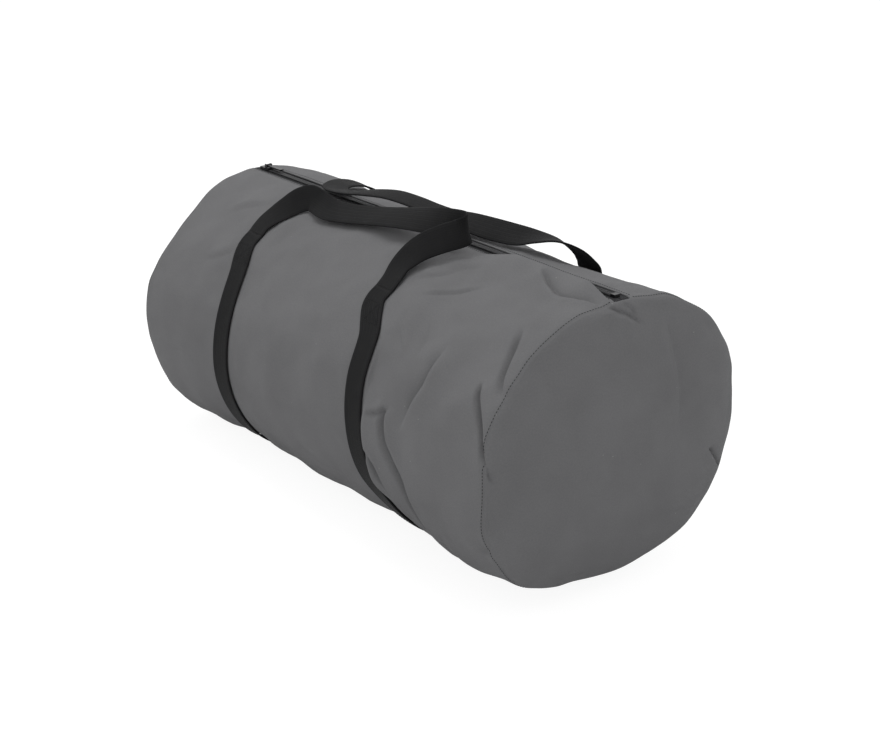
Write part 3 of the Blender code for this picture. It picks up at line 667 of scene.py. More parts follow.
class Mesher:
    """Makes plain mesh objects from points."""

    @staticmethod
    def build(name: str, points: Array, faces: Sequence[Sequence[int]], uv: Array) -> Object:
        """A mesh object at the origin.

        Args:
            name: The piece's name.
            points: Its points.
            faces: Its faces, as numbers of points.
            uv: A place on the cloth for each point, in metres.

        Returns:
            The new object.
        """
        mesh = bpy.data.meshes.new(name)
        mesh.from_pydata(points.reshape(-1, 3).tolist(), [], [tuple(f) for f in faces])
        layer = mesh.uv_layers.new(name="cloth")
        corners = np.empty(len(mesh.loops), np.int32)
        mesh.loops.foreach_get("vertex_index", corners)
        layer.data.foreach_set("uv", uv.reshape(-1, 2)[corners].astype(np.float32).ravel())
        mesh.shade_smooth()
        return placed(name, mesh)

    @staticmethod
    def grid_faces(rows: int, columns: int, wrap: bool = False, start: int = 0, turned: bool = False) -> list:
        """Faces of a grid of points, row by row.

        Args:
            rows: How many rows.
            columns: How many points in a row.
            wrap: Whether each row closes on itself.
            start: The number of the first point.
            turned: Whether the faces look the other way.

        Returns:
            The faces.
        """
        faces = []
        for r in range(rows - 1):
            for c in range(columns if wrap else columns - 1):
                a, b = start + r * columns + c, start + r * columns + (c + 1) % columns
                face = (a, b, b + columns, a + columns)
                faces.append(face[::-1] if turned else face)
        return faces

    @classmethod
    def wall(cls, name: str, outer: Array, inner: Array, uv: Array, wrap: bool = False) -> Object:
        """A closed wall between two grids of points.

        Args:
            name: The piece's name.
            outer: The outer grid, by row, column and coordinate.
            inner: The inner grid.
            uv: Each grid point's place on the cloth.
            wrap: Whether the rows close on themselves.

        Returns:
            The new object, with its faces pointing out.
        """
        rows, columns = outer.shape[:2]
        half = rows * columns
        faces = cls.grid_faces(rows, columns, wrap)
        faces += cls.grid_faces(rows, columns, wrap, half, True)
        edge = list(range(columns)) + ([0] if wrap else [])
        for a, b in zip(edge, edge[1:]):
            faces.append((b, a, half + a, half + b))
            last = (rows - 1) * columns
            faces.append((last + a, last + b, half + last + b, half + last + a))
        if not wrap:
            for r in range(rows - 1):
                a, d = r * columns, (r + 1) * columns
                faces.append((a, d, half + d, half + a))
                a, d = a + columns - 1, d + columns - 1
                faces.append((d, a, half + a, half + d))
        points = np.concatenate([outer.reshape(-1, 3), inner.reshape(-1, 3)])
        made = cls.build(name, points, faces, np.concatenate([uv.reshape(-1, 2)] * 2))
        return cls.face_out(made)

    @classmethod
    def lined_wall(cls, name: str, outer: Array, inner: Array, uv: Array) -> Object:
        """A closed wall whose inner grid has every second row and column of its outer one.

        Args:
            name: The piece's name.
            outer: The outer grid, by row, column and coordinate, with odd numbers of rows and columns.
            inner: The inner grid.
            uv: Each outer grid point's place on the cloth.

        Returns:
            The new object, with its faces pointing out.
        """
        rows, columns = outer.shape[:2]
        low_rows, low_columns = inner.shape[:2]
        half = rows * columns
        faces = cls.grid_faces(rows, columns)
        faces += cls.grid_faces(low_rows, low_columns, False, half, True)
        for k in range(low_columns - 1):
            a, b = 2 * k, half + k
            faces.append((a + 2, a + 1, a, b, b + 1))
            a, b = a + (rows - 1) * columns, b + (low_rows - 1) * low_columns
            faces.append((a, a + 1, a + 2, b + 1, b))
        for k in range(low_rows - 1):
            a, b = 2 * k * columns, half + k * low_columns
            faces.append((a, a + columns, a + 2 * columns, b + low_columns, b))
            a, b = a + columns - 1, b + low_columns - 1
            faces.append((a + 2 * columns, a + columns, a, b, b + low_columns))
        points = np.concatenate([outer.reshape(-1, 3), inner.reshape(-1, 3)])
        places = np.concatenate([uv.reshape(-1, 2), uv[::2, ::2].reshape(-1, 2)])
        return cls.face_out(cls.build(name, points, faces, places))

    @classmethod
    def strap(cls, name: str, rings: Array, uv: Array) -> Object:
        """A strap swept through rings of points, closed at both ends.

        Args:
            name: The piece's name.
            rings: The rings, by station, point and coordinate.
            uv: Each ring point's place on the webbing.

        Returns:
            The new object, with its faces pointing out.
        """
        stations, count = rings.shape[:2]
        faces = cls.grid_faces(stations, count, True)
        last = (stations - 1) * count
        for k in range(count // 2 - 1):
            a, b, c, d = k, k + 1, count - 2 - k, count - 1 - k
            faces.append((d, c, b, a))
            faces.append((last + a, last + b, last + c, last + d))
        return cls.face_out(cls.build(name, rings, faces, uv))

    @staticmethod
    def face_out(made: Object) -> Object:
        """Turns a closed piece's faces outwards, by the sign of its volume.

        Args:
            made: The piece.

        Returns:
            The piece.
        """
        mesh = made.data
        mesh.calc_loop_triangles()
        points = np.empty(len(mesh.vertices) * 3, np.float32)
        mesh.vertices.foreach_get("co", points)
        corners = np.empty(len(mesh.loop_triangles) * 3, np.int32)
        mesh.loop_triangles.foreach_get("vertices", corners)
        a, b, c = points.reshape(-1, 3)[corners.reshape(-1, 3)].astype(float).transpose(1, 0, 2)
        if np.einsum("ij,ij->i", a, np.cross(b, c)).sum() < 0:
            mesh.flip_normals()
        return made


class NodeBoard:
    """Places nodes in a node tree and links them."""

    def __init__(self, tree: Tree) -> None:
        """Starts on a tree."""
        self.tree = tree

    def feed(self, node: Node, inputs: dict) -> Node:
        """Gives a node its inputs.

        Args:
            node: The node.
            inputs: Values or sockets, by the input's name or number.

        Returns:
            The node.
        """
        for key, value in inputs.items():
            if isinstance(value, Socket):
                self.tree.links.new(value, node.inputs[key])
            else:
                node.inputs[key].default_value = value
        return node

    def add(self, kind: str, inputs: dict | None = None, **settings: object) -> Node:
        """Adds a node.

        Args:
            kind: The node's type.
            inputs: Values or sockets, by the input's name or number.
            **settings: Its other settings.

        Returns:
            The new node.
        """
        node = self.tree.nodes.new(kind)
        for key, value in settings.items():
            setattr(node, key, value)
        return self.feed(node, inputs or {})

    def effect(self, group: Tree, **inputs: object) -> bpy.types.bpy_prop_collection:
        """A shared effect's results, with a finish's own values."""
        return self.add("ShaderNodeGroup", inputs, node_tree=group).outputs

    def math(self, operation: str, *values: object) -> Socket:
        """The result of a sum on values or sockets."""
        return self.add("ShaderNodeMath", dict(enumerate(values)), operation=operation).outputs[0]

    def moved(self, vector: Socket, by: object) -> Socket:
        """A vector plus another."""
        return self.add("ShaderNodeVectorMath", {0: vector, 1: by}, operation="ADD").outputs[0]

    def scaled(self, vector: Socket, factor: object) -> Socket:
        """A vector times a number or another socket."""
        inputs = {0: vector, "Scale": factor}
        return self.add("ShaderNodeVectorMath", inputs, operation="SCALE").outputs[0]

    def noise(self, vector: object, scale: object, detail: float = 2.0, rough: float = 0.5) -> Node:
        """A smooth random pattern."""
        inputs = {"Vector": vector, "Scale": scale, "Detail": detail, "Roughness": rough}
        return self.add("ShaderNodeTexNoise", inputs)

    def mix(self, factor: object, first: object, second: object, blend: str = "MIX") -> Socket:
        """Two colours mixed by a factor."""
        inputs = {"Factor": factor, 6: first, 7: second}
        return self.add("ShaderNodeMix", inputs, data_type="RGBA", blend_type=blend).outputs[2]

    def between(
        self, value: object, low: object, high: object, start: object = 0.0, end: object = 1.0
    ) -> Socket:
        """A value spread from low to high as it goes from start to end."""
        inputs = {"Value": value, "From Min": start, "From Max": end, "To Min": low, "To Max": high}
        return self.add("ShaderNodeMapRange", inputs).outputs["Result"]

    def bump(self, height: object, distance: float, strength: float) -> Socket:
        """A normal from a height."""
        inputs = {"Height": height, "Distance": distance, "Strength": strength}
        return self.add("ShaderNodeBump", inputs).outputs[0]

    def seen(self) -> Socket:
        """A mask of the rays from the camera, with those that a mirror or glass passes on.

        Returns:
            The socket: 1 for those rays and 0 for all others.
        """
        path = self.add("ShaderNodeLightPath").outputs
        either = self.math("MAXIMUM", path["Is Camera Ray"], path["Is Glossy Ray"])
        return self.math("MAXIMUM", either, path["Is Transmission Ray"])


Group = tuple[NodeBoard, bpy.types.bpy_prop_collection, Node]
VECTOR, FLOAT = "NodeSocketVector", "NodeSocketFloat"
GEOMETRY, MATERIAL = "NodeSocketGeometry", "NodeSocketMaterial"


def new_group(
    name: str, inputs: Sequence[tuple], outputs: Sequence[tuple[str, str]], kind: str = "ShaderNodeTree"
) -> Group:
    """A node group with named sockets.

    Args:
        name: The group's name.
        inputs: Each input's name, socket type and value.
        outputs: Each output's name and socket type.
        kind: What kind of tree it is.

    Returns:
        The group's board, what it is given, and its output node.
    """
    tree = bpy.data.node_groups.new(name, kind)
    for label, sort, value in inputs:
        socket = tree.interface.new_socket(label, in_out="INPUT", socket_type=sort)
        if value is not None:
            socket.default_value = value
    for label, sort in outputs:
        tree.interface.new_socket(label, in_out="OUTPUT", socket_type=sort)
    board = NodeBoard(tree)
    return board, board.add("NodeGroupInput").outputs, board.add("NodeGroupOutput")


class Effects:
    """Shader effects that several materials share, each a node group made once."""

    def __init__(self) -> None:
        """Makes every effect."""
        self.weave = self.make_weave()
        self.ribs = self.make_ribs()
        self.tone = self.make_tone()
        self.lint = self.make_lint()
        self.scuffs = self.make_scuffs()

    @staticmethod
    def make_weave() -> Tree:
        """A plain weave: threads that pass over and under each other, uneven in thickness.

        Returns:
            The node group.
        """
        board, given, out = new_group(
            "plain weave",
            [("Place", VECTOR, None), ("Pitch", FLOAT, 0.001), ("Unevenness", FLOAT, 0.3)],
            [("Height", FLOAT), ("Gap", FLOAT)],
        )
        place = board.scaled(given["Place"], board.math("DIVIDE", 1.0, given["Pitch"]))
        wobble = board.moved(board.noise(place, 0.22).outputs["Color"], (-0.5, -0.5, -0.5))
        moved = board.moved(board.scaled(wobble, given["Unevenness"]), place)
        split = board.add("ShaderNodeSeparateXYZ", {0: moved})
        waves = [board.math("SINE", board.math("MULTIPLY", split.outputs[k], math.pi)) for k in (0, 1)]
        domes = [board.math("ABSOLUTE", wave) for wave in waves]
        upper = board.math("GREATER_THAN", board.math("MULTIPLY", *waves), 0.0)
        lower = board.math("SUBTRACT", 1.0, upper)
        threads = [board.math("MULTIPLY", *pair) for pair in zip((upper, lower), domes)]
        closed = board.math("POWER", board.math("MULTIPLY", *domes), 0.35)
        board.feed(out, {"Height": board.math("ADD", *threads), "Gap": board.math("SUBTRACT", 1.0, closed)})
        return board.tree

    @staticmethod
    def make_ribs() -> Tree:
        """Webbing: ribs that slant to and fro across its width, in long rows.

        Returns:
            The node group.
        """
        board, given, out = new_group(
            "webbing ribs",
            [("Place", VECTOR, None), ("Pitch", FLOAT, 0.0016), ("Row", FLOAT, 0.005)],
            [("Height", FLOAT)],
        )
        split = board.add("ShaderNodeSeparateXYZ", {0: given["Place"]})
        row = board.math("DIVIDE", split.outputs[0], given["Row"])
        along = board.math("DIVIDE", split.outputs[1], given["Pitch"])
        lean = board.math("ADD", along, board.math("MULTIPLY", board.math("PINGPONG", row, 0.5), 2.6))
        rib = board.math("ABSOLUTE", board.math("SINE", board.math("MULTIPLY", lean, math.pi)))
        dome = board.math("ABSOLUTE", board.math("SINE", board.math("MULTIPLY", row, 2 * math.pi)))
        board.feed(out, {"Height": board.math("MULTIPLY", rib, board.math("POWER", dome, 0.3))})
        return board.tree

    @staticmethod
    def make_tone() -> Tree:
        """Soft patches of lighter and darker tone: a factor about 1.

        Returns:
            The node group.
        """
        board, given, out = new_group(
            "soft tone",
            [("Place", VECTOR, None), ("Patch", FLOAT, 0.05), ("Amount", FLOAT, 0.06)],
            [("Factor", FLOAT)],
        )
        noise = board.noise(given["Place"], board.math("DIVIDE", 1.0, given["Patch"]), 4.0)
        low, high = (board.math(way, 1.0, given["Amount"]) for way in ("SUBTRACT", "ADD"))
        board.feed(out, {"Factor": board.between(noise.outputs["Fac"], low, high, 0.28, 0.72)})
        return board.tree

    @staticmethod
    def make_lint() -> Tree:
        """Specks of pale lint and dust: a mask.

        Returns:
            The node group.
        """
        board, given, out = new_group(
            "lint",
            [("Place", VECTOR, None), ("Spacing", FLOAT, 0.02), ("Size", FLOAT, 0.03)],
            [("Mask", FLOAT)],
        )
        scale = board.math("DIVIDE", 1.0, given["Spacing"])
        cells = board.add("ShaderNodeTexVoronoi", {"Vector": given["Place"], "Scale": scale})
        speck = board.math("LESS_THAN", cells.outputs["Distance"], given["Size"])
        some = board.math("GREATER_THAN", board.noise(given["Place"], 9.0).outputs["Fac"], 0.52)
        board.feed(out, {"Mask": board.math("MULTIPLY", speck, some)})
        return board.tree

    @staticmethod
    def make_scuffs() -> Tree:
        """Fine rubbed marks: a mask that is streaky one way.

        Returns:
            The node group.
        """
        board, given, out = new_group(
            "scuffs",
            [("Place", VECTOR, None), ("Size", FLOAT, 0.004), ("Amount", FLOAT, 0.4)],
            [("Mask", FLOAT)],
        )
        squeeze = board.add("ShaderNodeMapping", {"Vector": given["Place"], "Scale": (0.25, 1.0, 1.0)})
        scale = board.math("DIVIDE", 1.0, given["Size"])
        noise = board.noise(squeeze.outputs[0], scale, 6.0, 0.7)
        start = board.math("SUBTRACT", 0.75, board.math("MULTIPLY", given["Amount"], 0.3))
        board.feed(out, {"Mask": board.between(noise.outputs["Fac"], 0.0, 1.0, start, 0.8)})
        return board.tree


@dataclass(frozen=True)
class Finish:
    """What every finish has: its name, its colour and how rough it is."""

    name: str
    colour: tuple[float, float, float]
    roughness: float = 0.85

    def make(self, effects: Effects) -> Material:
        """The finish as a material.

        Args:
            effects: The shared effects.

        Returns:
            The material.
        """
        made = bpy.data.materials.new(self.name)
        made.use_nodes = True
        board, shader = NodeBoard(made.node_tree), made.node_tree.nodes["Principled BSDF"]
        board.feed(shader, {"Base Color": (*self.colour, 1.0), "Roughness": self.roughness})
        board.feed(shader, self.surface(board, effects))
        return made

    def surface(self, board: NodeBoard, effects: Effects) -> dict:
        """The shader's inputs, which each kind of finish gives in its own way."""
        raise NotImplementedError

    def tinted(self, board: NodeBoard, factor: Socket) -> Socket:
        """The finish's colour times a factor that changes over the surface."""
        grey = board.add("ShaderNodeCombineColor", {k: factor for k in range(3)}).outputs[0]
        return board.mix(1.0, (*self.colour, 1.0), grey, "MULTIPLY")


@dataclass(frozen=True)
class ClothFinish(Finish):
    """A woven cloth, on the piece's own cloth places."""

    pitch: float = 0.0008
    relief: float = 0.00018
    patch: float = 0.060
    patch_amount: float = 0.06
    heather: float = 0.06
    gap_shade: float = 0.18
    lint: float = 0.0
    lint_colour: tuple[float, float, float] = (0.45, 0.45, 0.44)
    sheen: float = 0.02

    def surface(self, board: NodeBoard, effects: Effects) -> dict:
        """The shader's inputs for woven cloth.

        Args:
            board: The material's board.
            effects: The shared effects.

        Returns:
            Values or sockets, by the input's name.
        """
        cloth = board.add("ShaderNodeUVMap", uv_map="cloth").outputs[0]
        solid = board.add("ShaderNodeTexCoord").outputs["Object"]
        weave = board.effect(effects.weave, Place=cloth, Pitch=self.pitch)
        patches = board.effect(effects.tone, Place=solid, Patch=self.patch, Amount=self.patch_amount)[0]
        yarn = board.effect(effects.tone, Place=cloth, Patch=self.pitch * 2.2, Amount=self.heather)[0]
        factor = board.math("MULTIPLY", patches, yarn)
        shade = board.math("SUBTRACT", 1.0, board.math("MULTIPLY", weave["Gap"], self.gap_shade))
        colour = self.tinted(board, board.math("MULTIPLY", factor, shade))
        if self.lint:
            specks = board.effect(effects.lint, Place=solid, Spacing=0.016, Size=self.lint)[0]
            colour = board.mix(board.math("MULTIPLY", specks, 0.35), colour, (*self.lint_colour, 1.0))
        return {
            "Base Color": colour,
            "Roughness": board.between(yarn, self.roughness - 0.06, self.roughness + 0.04),
            "Normal": board.bump(weave["Height"], self.relief, 0.8),
            "Sheen Weight": self.sheen, "Sheen Roughness": 0.5, "Specular IOR Level": 0.16,
        }


@dataclass(frozen=True)
class WebbingFinish(Finish):
    """Black woven webbing: slanting ribs, and pale rubbed scuffs that thicken at the edges as a painted
    highlight.
    """

    pitch: float = 0.0018
    row: float = 0.0050
    relief: float = 0.00022
    width: float = 0.030
    # The pale colour of the rubbed scuffs and of the painted highlight along the edges
    edge_colour: tuple[float, float, float] = (0.045, 0.045, 0.047)

    def surface(self, board: NodeBoard, effects: Effects) -> dict:
        """The shader's inputs for webbing.

        Args:
            board: The material's board.
            effects: The shared effects.

        Returns:
            Values or sockets, by the input's name.
        """
        cloth = board.add("ShaderNodeUVMap", uv_map="cloth").outputs[0]
        ribs = board.effect(effects.ribs, Place=cloth, Pitch=self.pitch, Row=self.row)[0]
        tone = board.effect(effects.tone, Place=cloth, Patch=0.025, Amount=0.16)[0]
        scuffs = board.effect(effects.scuffs, Place=cloth, Size=0.0035, Amount=0.5)[0]
        across = board.add("ShaderNodeSeparateXYZ", {0: cloth}).outputs[0]
        off_middle = board.math("ABSOLUTE", board.math("SUBTRACT", across, self.width / 2))
        # Near the edges the pale scuffs thicken: painted highlight along the edges, over real rubbed wear
        edge = board.between(off_middle, 0.0, 1.0, self.width * 0.43, self.width * 0.5)
        # Rib tops painted lighter and the grooves between them darker: painted shade between the ribs
        lift = board.math("ADD", board.math("MULTIPLY", ribs, 0.55), 0.7)
        colour = self.tinted(board, board.math("MULTIPLY", tone, lift))
        # worn blends in the pale colour: rubbed scuffs all over, and the painted edge highlight near the
        # edges
        worn = board.math("MULTIPLY", board.math("ADD", board.math("MULTIPLY", edge, 0.6), 0.15), scuffs)
        return {
            "Base Color": board.mix(worn, colour, (*self.edge_colour, 1.0)),
            "Roughness": board.between(ribs, self.roughness + 0.08, self.roughness - 0.08),
            "Normal": board.bump(ribs, self.relief, 0.9),
            "Sheen Weight": 0.02, "Sheen Roughness": 0.4, "Specular IOR Level": 0.14,
        }


@dataclass(frozen=True)
class MouldedFinish(Finish):
    """Nylon or lacquered zinc, with rubbed marks that change its shine."""

    metallic: float = 0.0
    worn_colour: tuple[float, float, float] = (0.10, 0.10, 0.10)
    worn: float = 0.3
    mark: float = 0.0020

    def surface(self, board: NodeBoard, effects: Effects) -> dict:
        """The shader's inputs for a hard part.

        Args:
            board: The material's board.
            effects: The shared effects.

        Returns:
            Values or sockets, by the input's name.
        """
        solid = board.add("ShaderNodeTexCoord").outputs["Object"]
        scuffs = board.effect(effects.scuffs, Place=solid, Size=self.mark, Amount=self.worn)[0]
        tone = board.effect(effects.tone, Place=solid, Patch=0.006, Amount=0.12)[0]
        return {
            "Base Color": board.mix(scuffs, self.tinted(board, tone), (*self.worn_colour, 1.0)),
            "Roughness": board.between(scuffs, self.roughness, self.roughness + 0.2),
            "Normal": board.bump(board.noise(solid, 2500.0).outputs["Fac"], 0.00002, 0.4),
            "Metallic": self.metallic,
        }


@dataclass(frozen=True)
class FibreFinish(Finish):
    """Loose filling in soft clumps, or twisted thread: fibres with an uneven tone and nap.

    scale, detail and rough are those of the nap, and height is how far it stands out.
    """

    patch: float = 0.012
    patch_amount: float = 0.08
    scale: float = 160.0
    detail: float = 8.0
    rough: float = 0.75
    height: float = 0.002
    strength: float = 0.9
    sheen: float = 0.0
    shine: float = 0.5

    def surface(self, board: NodeBoard, effects: Effects) -> dict:
        """The shader's inputs for fibres.

        Args:
            board: The material's board.
            effects: The shared effects.

        Returns:
            Values or sockets, by the input's name.
        """
        solid = board.add("ShaderNodeTexCoord").outputs["Object"]
        tone = board.effect(effects.tone, Place=solid, Patch=self.patch, Amount=self.patch_amount)[0]
        nap = board.noise(solid, self.scale, self.detail, self.rough).outputs["Fac"]
        return {
            "Base Color": self.tinted(board, tone),
            "Normal": board.bump(nap, self.height, self.strength),
            "Sheen Weight": self.sheen, "Specular IOR Level": self.shine,
        }


FINISHES: dict[Slot, Finish] = {
    Slot.CANVAS: ClothFinish("grey canvas", (0.150, 0.150, 0.154), 0.92, lint=0.035),
    Slot.WEBBING: WebbingFinish("black webbing", (0.0085, 0.0085, 0.0090), 0.80),
    Slot.ZIP_TAPE: ClothFinish("black zip tape", (0.026, 0.026, 0.028), 0.85, pitch=0.0007, relief=0.00015,
                               patch=0.02, patch_amount=0.10, heather=0.14),
    Slot.COIL: MouldedFinish("black nylon coil", (0.030, 0.030, 0.032), 0.42),
    Slot.METAL: MouldedFinish("black lacquered zinc", (0.022, 0.022, 0.024), 0.32, metallic=0.7,
                              worn_colour=(0.22, 0.21, 0.20), worn=0.45),
    Slot.THREAD: FibreFinish("black thread", (0.014, 0.014, 0.015), 0.80, patch=0.004, patch_amount=0.22,
                             scale=4000.0, detail=3.0, rough=0.5, height=0.00005, strength=0.8, shine=0.2),
    Slot.SHELL: ClothFinish("green-grey quilt shell", (0.120, 0.140, 0.115), 0.92, pitch=0.0008),
    Slot.FILLING: FibreFinish("off-white filling", (0.780, 0.780, 0.760), 0.95, sheen=0.3),
    Slot.LINING: ClothFinish("brushed tan lining", (0.420, 0.330, 0.240), 0.95, pitch=0.0006, sheen=0.3),
}


class Wardrobe:
    """Makes the materials once and puts them on pieces."""

    def __init__(self) -> None:
        """Makes the shared effects and every material."""
        effects = Effects()
        self.materials = {slot: finish.make(effects) for slot, finish in FINISHES.items()}

    def dress(self, piece: Object, slot: Slot) -> None:
        """Gives a piece its slot's material.

        Args:
            piece: The piece.
            slot: Its slot.
        """
        piece.data.materials.clear()
        piece.data.materials.append(self.materials[slot])

    def settle(self, piece: Object, slot: Slot, *nodes: str, body: Body = Body.BAG) -> Object:
        """Dresses a piece and lets it ride on a body.

        Args:
            piece: The finished piece.
            slot: Its slot.
            *nodes: The CAD nodes that it replaces.
            body: The body that it moves with.

        Returns:
            The piece.
        """
        self.dress(piece, slot)
        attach(piece, body.value)
        if nodes:
            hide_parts(*nodes)
        LOG.info("%s: %d faces, rides on %s", piece.name, len(piece.data.polygons), body.value)
        return piece

    def dress_cad(self, name: str, slot: Slot) -> None:
        """Gives a kept CAD node its material."""
        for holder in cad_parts[name].material_slots:
            holder.material = self.materials[slot]


@dataclass(frozen=True)
class Beads:
    """How far apart the beads of a row are, and how large each is."""

    spacing: float
    length: float
    width: float
    height: float


SEAM_STITCHES = Beads(0.0034, 0.0027, 0.0007, 0.0006)
BAND_STITCHES = Beads(0.0036, 0.0028, 0.0007, 0.0005)
BOX_STITCHES = Beads(0.0027, 0.0023, 0.0008, 0.0007)
SIDE_ZIP_TEETH = Beads(0.0042, 0.0016, 0.0055, 0.0014)
# How far stitches stand off the cloth
STITCH_LIFT = 0.0001


class Maker:
    """Geometry Nodes trees that make what repeats, and what turns their result into a plain mesh."""

    def __init__(self, wardrobe: Wardrobe) -> None:
        """Makes the two trees.

        Args:
            wardrobe: What dresses the pieces made with them.
        """
        self.wardrobe = wardrobe
        self.rows = self.make_row_tree()
        self.coils = self.make_coil_tree()

    @staticmethod
    def start_tree(name: str, *sizes: str) -> Group:
        """A geometry tree whose inputs are a shape, numbers and a material.

        Args:
            name: The tree's name.
            *sizes: The numbers' names.

        Returns:
            The tree's board, what it is given, and its output node.
        """
        numbers = [(size, FLOAT, None) for size in sizes]
        inputs = [("Geometry", GEOMETRY, None), *numbers, ("Material", MATERIAL, None)]
        return new_group(name, inputs, [("Geometry", GEOMETRY)], "GeometryNodeTree")

    def make_row_tree(self) -> Tree:
        """Beads in a row along a path, such as stitches or zip teeth.

        Returns:
            The tree.
        """
        group = board, given, _ = self.start_tree("row of beads", "Spacing", "Length", "Width", "Height")
        path = board.add("GeometryNodeMeshToCurve", {"Mesh": given["Geometry"]})
        evenly = {"Curve": path.outputs[0], "Length": given["Spacing"]}
        points = board.add("GeometryNodeCurveToPoints", evenly, mode="LENGTH")
        up = board.add("GeometryNodeInputNamedAttribute", {"Name": "up"}, data_type="FLOAT_VECTOR")
        ahead = {"Vector": points.outputs["Tangent"]}
        along = board.add("FunctionNodeAlignRotationToVector", ahead, axis="X")
        level = board.add(
            "FunctionNodeAlignRotationToVector",
            {"Rotation": along.outputs[0], "Vector": up.outputs[0]}, axis="Z", pivot_axis="X",
        )
        bead = board.add("GeometryNodeMeshUVSphere", {"Segments": 6, "Rings": 4, "Radius": 0.5})
        size = board.add("ShaderNodeCombineXYZ", {0: given["Length"], 1: given["Width"], 2: given["Height"]})
        shaped = board.add("GeometryNodeTransform", {"Geometry": bead.outputs[0], "Scale": size.outputs[0]})
        beads = board.add(
            "GeometryNodeInstanceOnPoints",
            {"Points": points.outputs[0], "Instance": shaped.outputs[0], "Rotation": level.outputs[0]},
        )
        return self.close(group, beads.outputs[0])

    def make_coil_tree(self) -> Tree:
        """A long coil of wire along X, flattened as a zip's coil is.

        Returns:
            The tree.
        """
        group = board, given, _ = self.start_tree("zip coil", "Turns", "Run", "Width", "Height", "Wire")
        spiral = board.add("GeometryNodeCurveSpiral", {
            "Resolution": 9, "Rotations": given["Turns"], "Start Radius": 0.5, "End Radius": 0.5,
            "Height": given["Run"],
        })
        size = board.add("ShaderNodeCombineXYZ", {0: given["Height"], 1: given["Width"], 2: 1.0})
        laid = board.add("GeometryNodeTransform", {
            "Geometry": spiral.outputs[0], "Scale": size.outputs[0], "Rotation": (0.0, math.pi / 2, 0.0),
        })
        wire = board.add("GeometryNodeCurvePrimitiveCircle", {"Resolution": 5, "Radius": given["Wire"]})
        swept = board.add("GeometryNodeCurveToMesh", {
            "Curve": laid.outputs[0], "Profile Curve": wire.outputs[0], "Fill Caps": True,
        })
        return self.close(group, swept.outputs[0])

    @staticmethod
    def close(group: Group, shape: Socket) -> Tree:
        """Ends a tree in real geometry with its material.

        Args:
            group: The tree's board, what it is given, and its output node.
            shape: The geometry so far.

        Returns:
            The tree.
        """
        board, given, out = group
        real = board.add("GeometryNodeRealizeInstances", {"Geometry": shape})
        smooth = board.add("GeometryNodeSetShadeSmooth", {"Geometry": real.outputs[0]})
        inputs = {"Geometry": smooth.outputs[0], "Material": given["Material"]}
        board.feed(out, {"Geometry": board.add("GeometryNodeSetMaterial", inputs).outputs[0]})
        return board.tree

    def plain(self, name: str, source: Object, tree: Tree, slot: Slot, sizes: dict) -> Object:
        """Runs a tree on an object and keeps the result as a plain mesh object.

        Args:
            name: The new piece's name.
            source: The object that the tree starts from. It is removed.
            tree: The geometry tree.
            slot: The new piece's slot.
            sizes: The tree's numbers by name.

        Returns:
            The new piece.
        """
        values = {**sizes, "Material": self.wardrobe.materials[slot]}
        grown = source.modifiers.new("grown", "NODES")
        grown.node_group = tree
        for item in tree.interface.items_tree:
            if item.item_type == "SOCKET" and item.in_out == "INPUT" and item.name in values:
                grown[item.identifier] = values[item.name]
        graph = bpy.context.evaluated_depsgraph_get()
        mesh = bpy.data.meshes.new_from_object(source.evaluated_get(graph), depsgraph=graph)
        mesh.name = name
        source.modifiers.remove(grown)
        bpy.data.objects.remove(source)
        return placed(name, mesh)

    def row(
        self, name: str, paths: Sequence[tuple[Array, Array]], beads: Beads, slot: Slot, *nodes: str
    ) -> None:
        """Beads along several paths as one piece, dressed and settled.

        Args:
            name: The piece's name.
            paths: Each path's points and the directions that its beads face.
            beads: The beads' spacing and size.
            slot: The piece's slot.
            *nodes: The CAD nodes that it replaces.
        """
        points, ups, edges, start = [], [], [], 0
        for path, up in paths:
            points.append(path)
            ups.append(up)
            edges.extend((start + k, start + k + 1) for k in range(len(path) - 1))
            start += len(path)
        mesh = bpy.data.meshes.new("path")
        mesh.from_pydata(np.concatenate(points).tolist(), edges, [])
        facing = mesh.attributes.new("up", "FLOAT_VECTOR", "POINT")
        facing.data.foreach_set("vector", np.concatenate(ups).astype(np.float32).ravel())
        sizes = {label.capitalize(): value for label, value in vars(beads).items()}
        made = self.plain(name, placed("path", mesh), self.rows, slot, sizes)
        self.wardrobe.settle(made, slot, *nodes)

    def coil(self, name: str, start: Vector, sizes: dict, slot: Slot, node: str) -> None:
        """A flattened coil that starts at a point and runs along X, dressed and settled.

        Args:
            name: The piece's name.
            start: The middle of its first turn.
            sizes: Turns, run, width, height and wire.
            slot: The piece's slot.
            node: The CAD node that it replaces.
        """
        seed = placed("seed", bpy.data.meshes.new("seed"))
        made = self.plain(name, seed, self.coils, slot, sizes)
        made.data.transform(Matrix.Translation(start))
        self.wardrobe.settle(made, slot, node)


@dataclass
class Pieces:
    """Some of the bag's pieces: the form that they follow, and what makes and dresses them."""

    form: BagForm
    wardrobe: Wardrobe
    maker: Maker


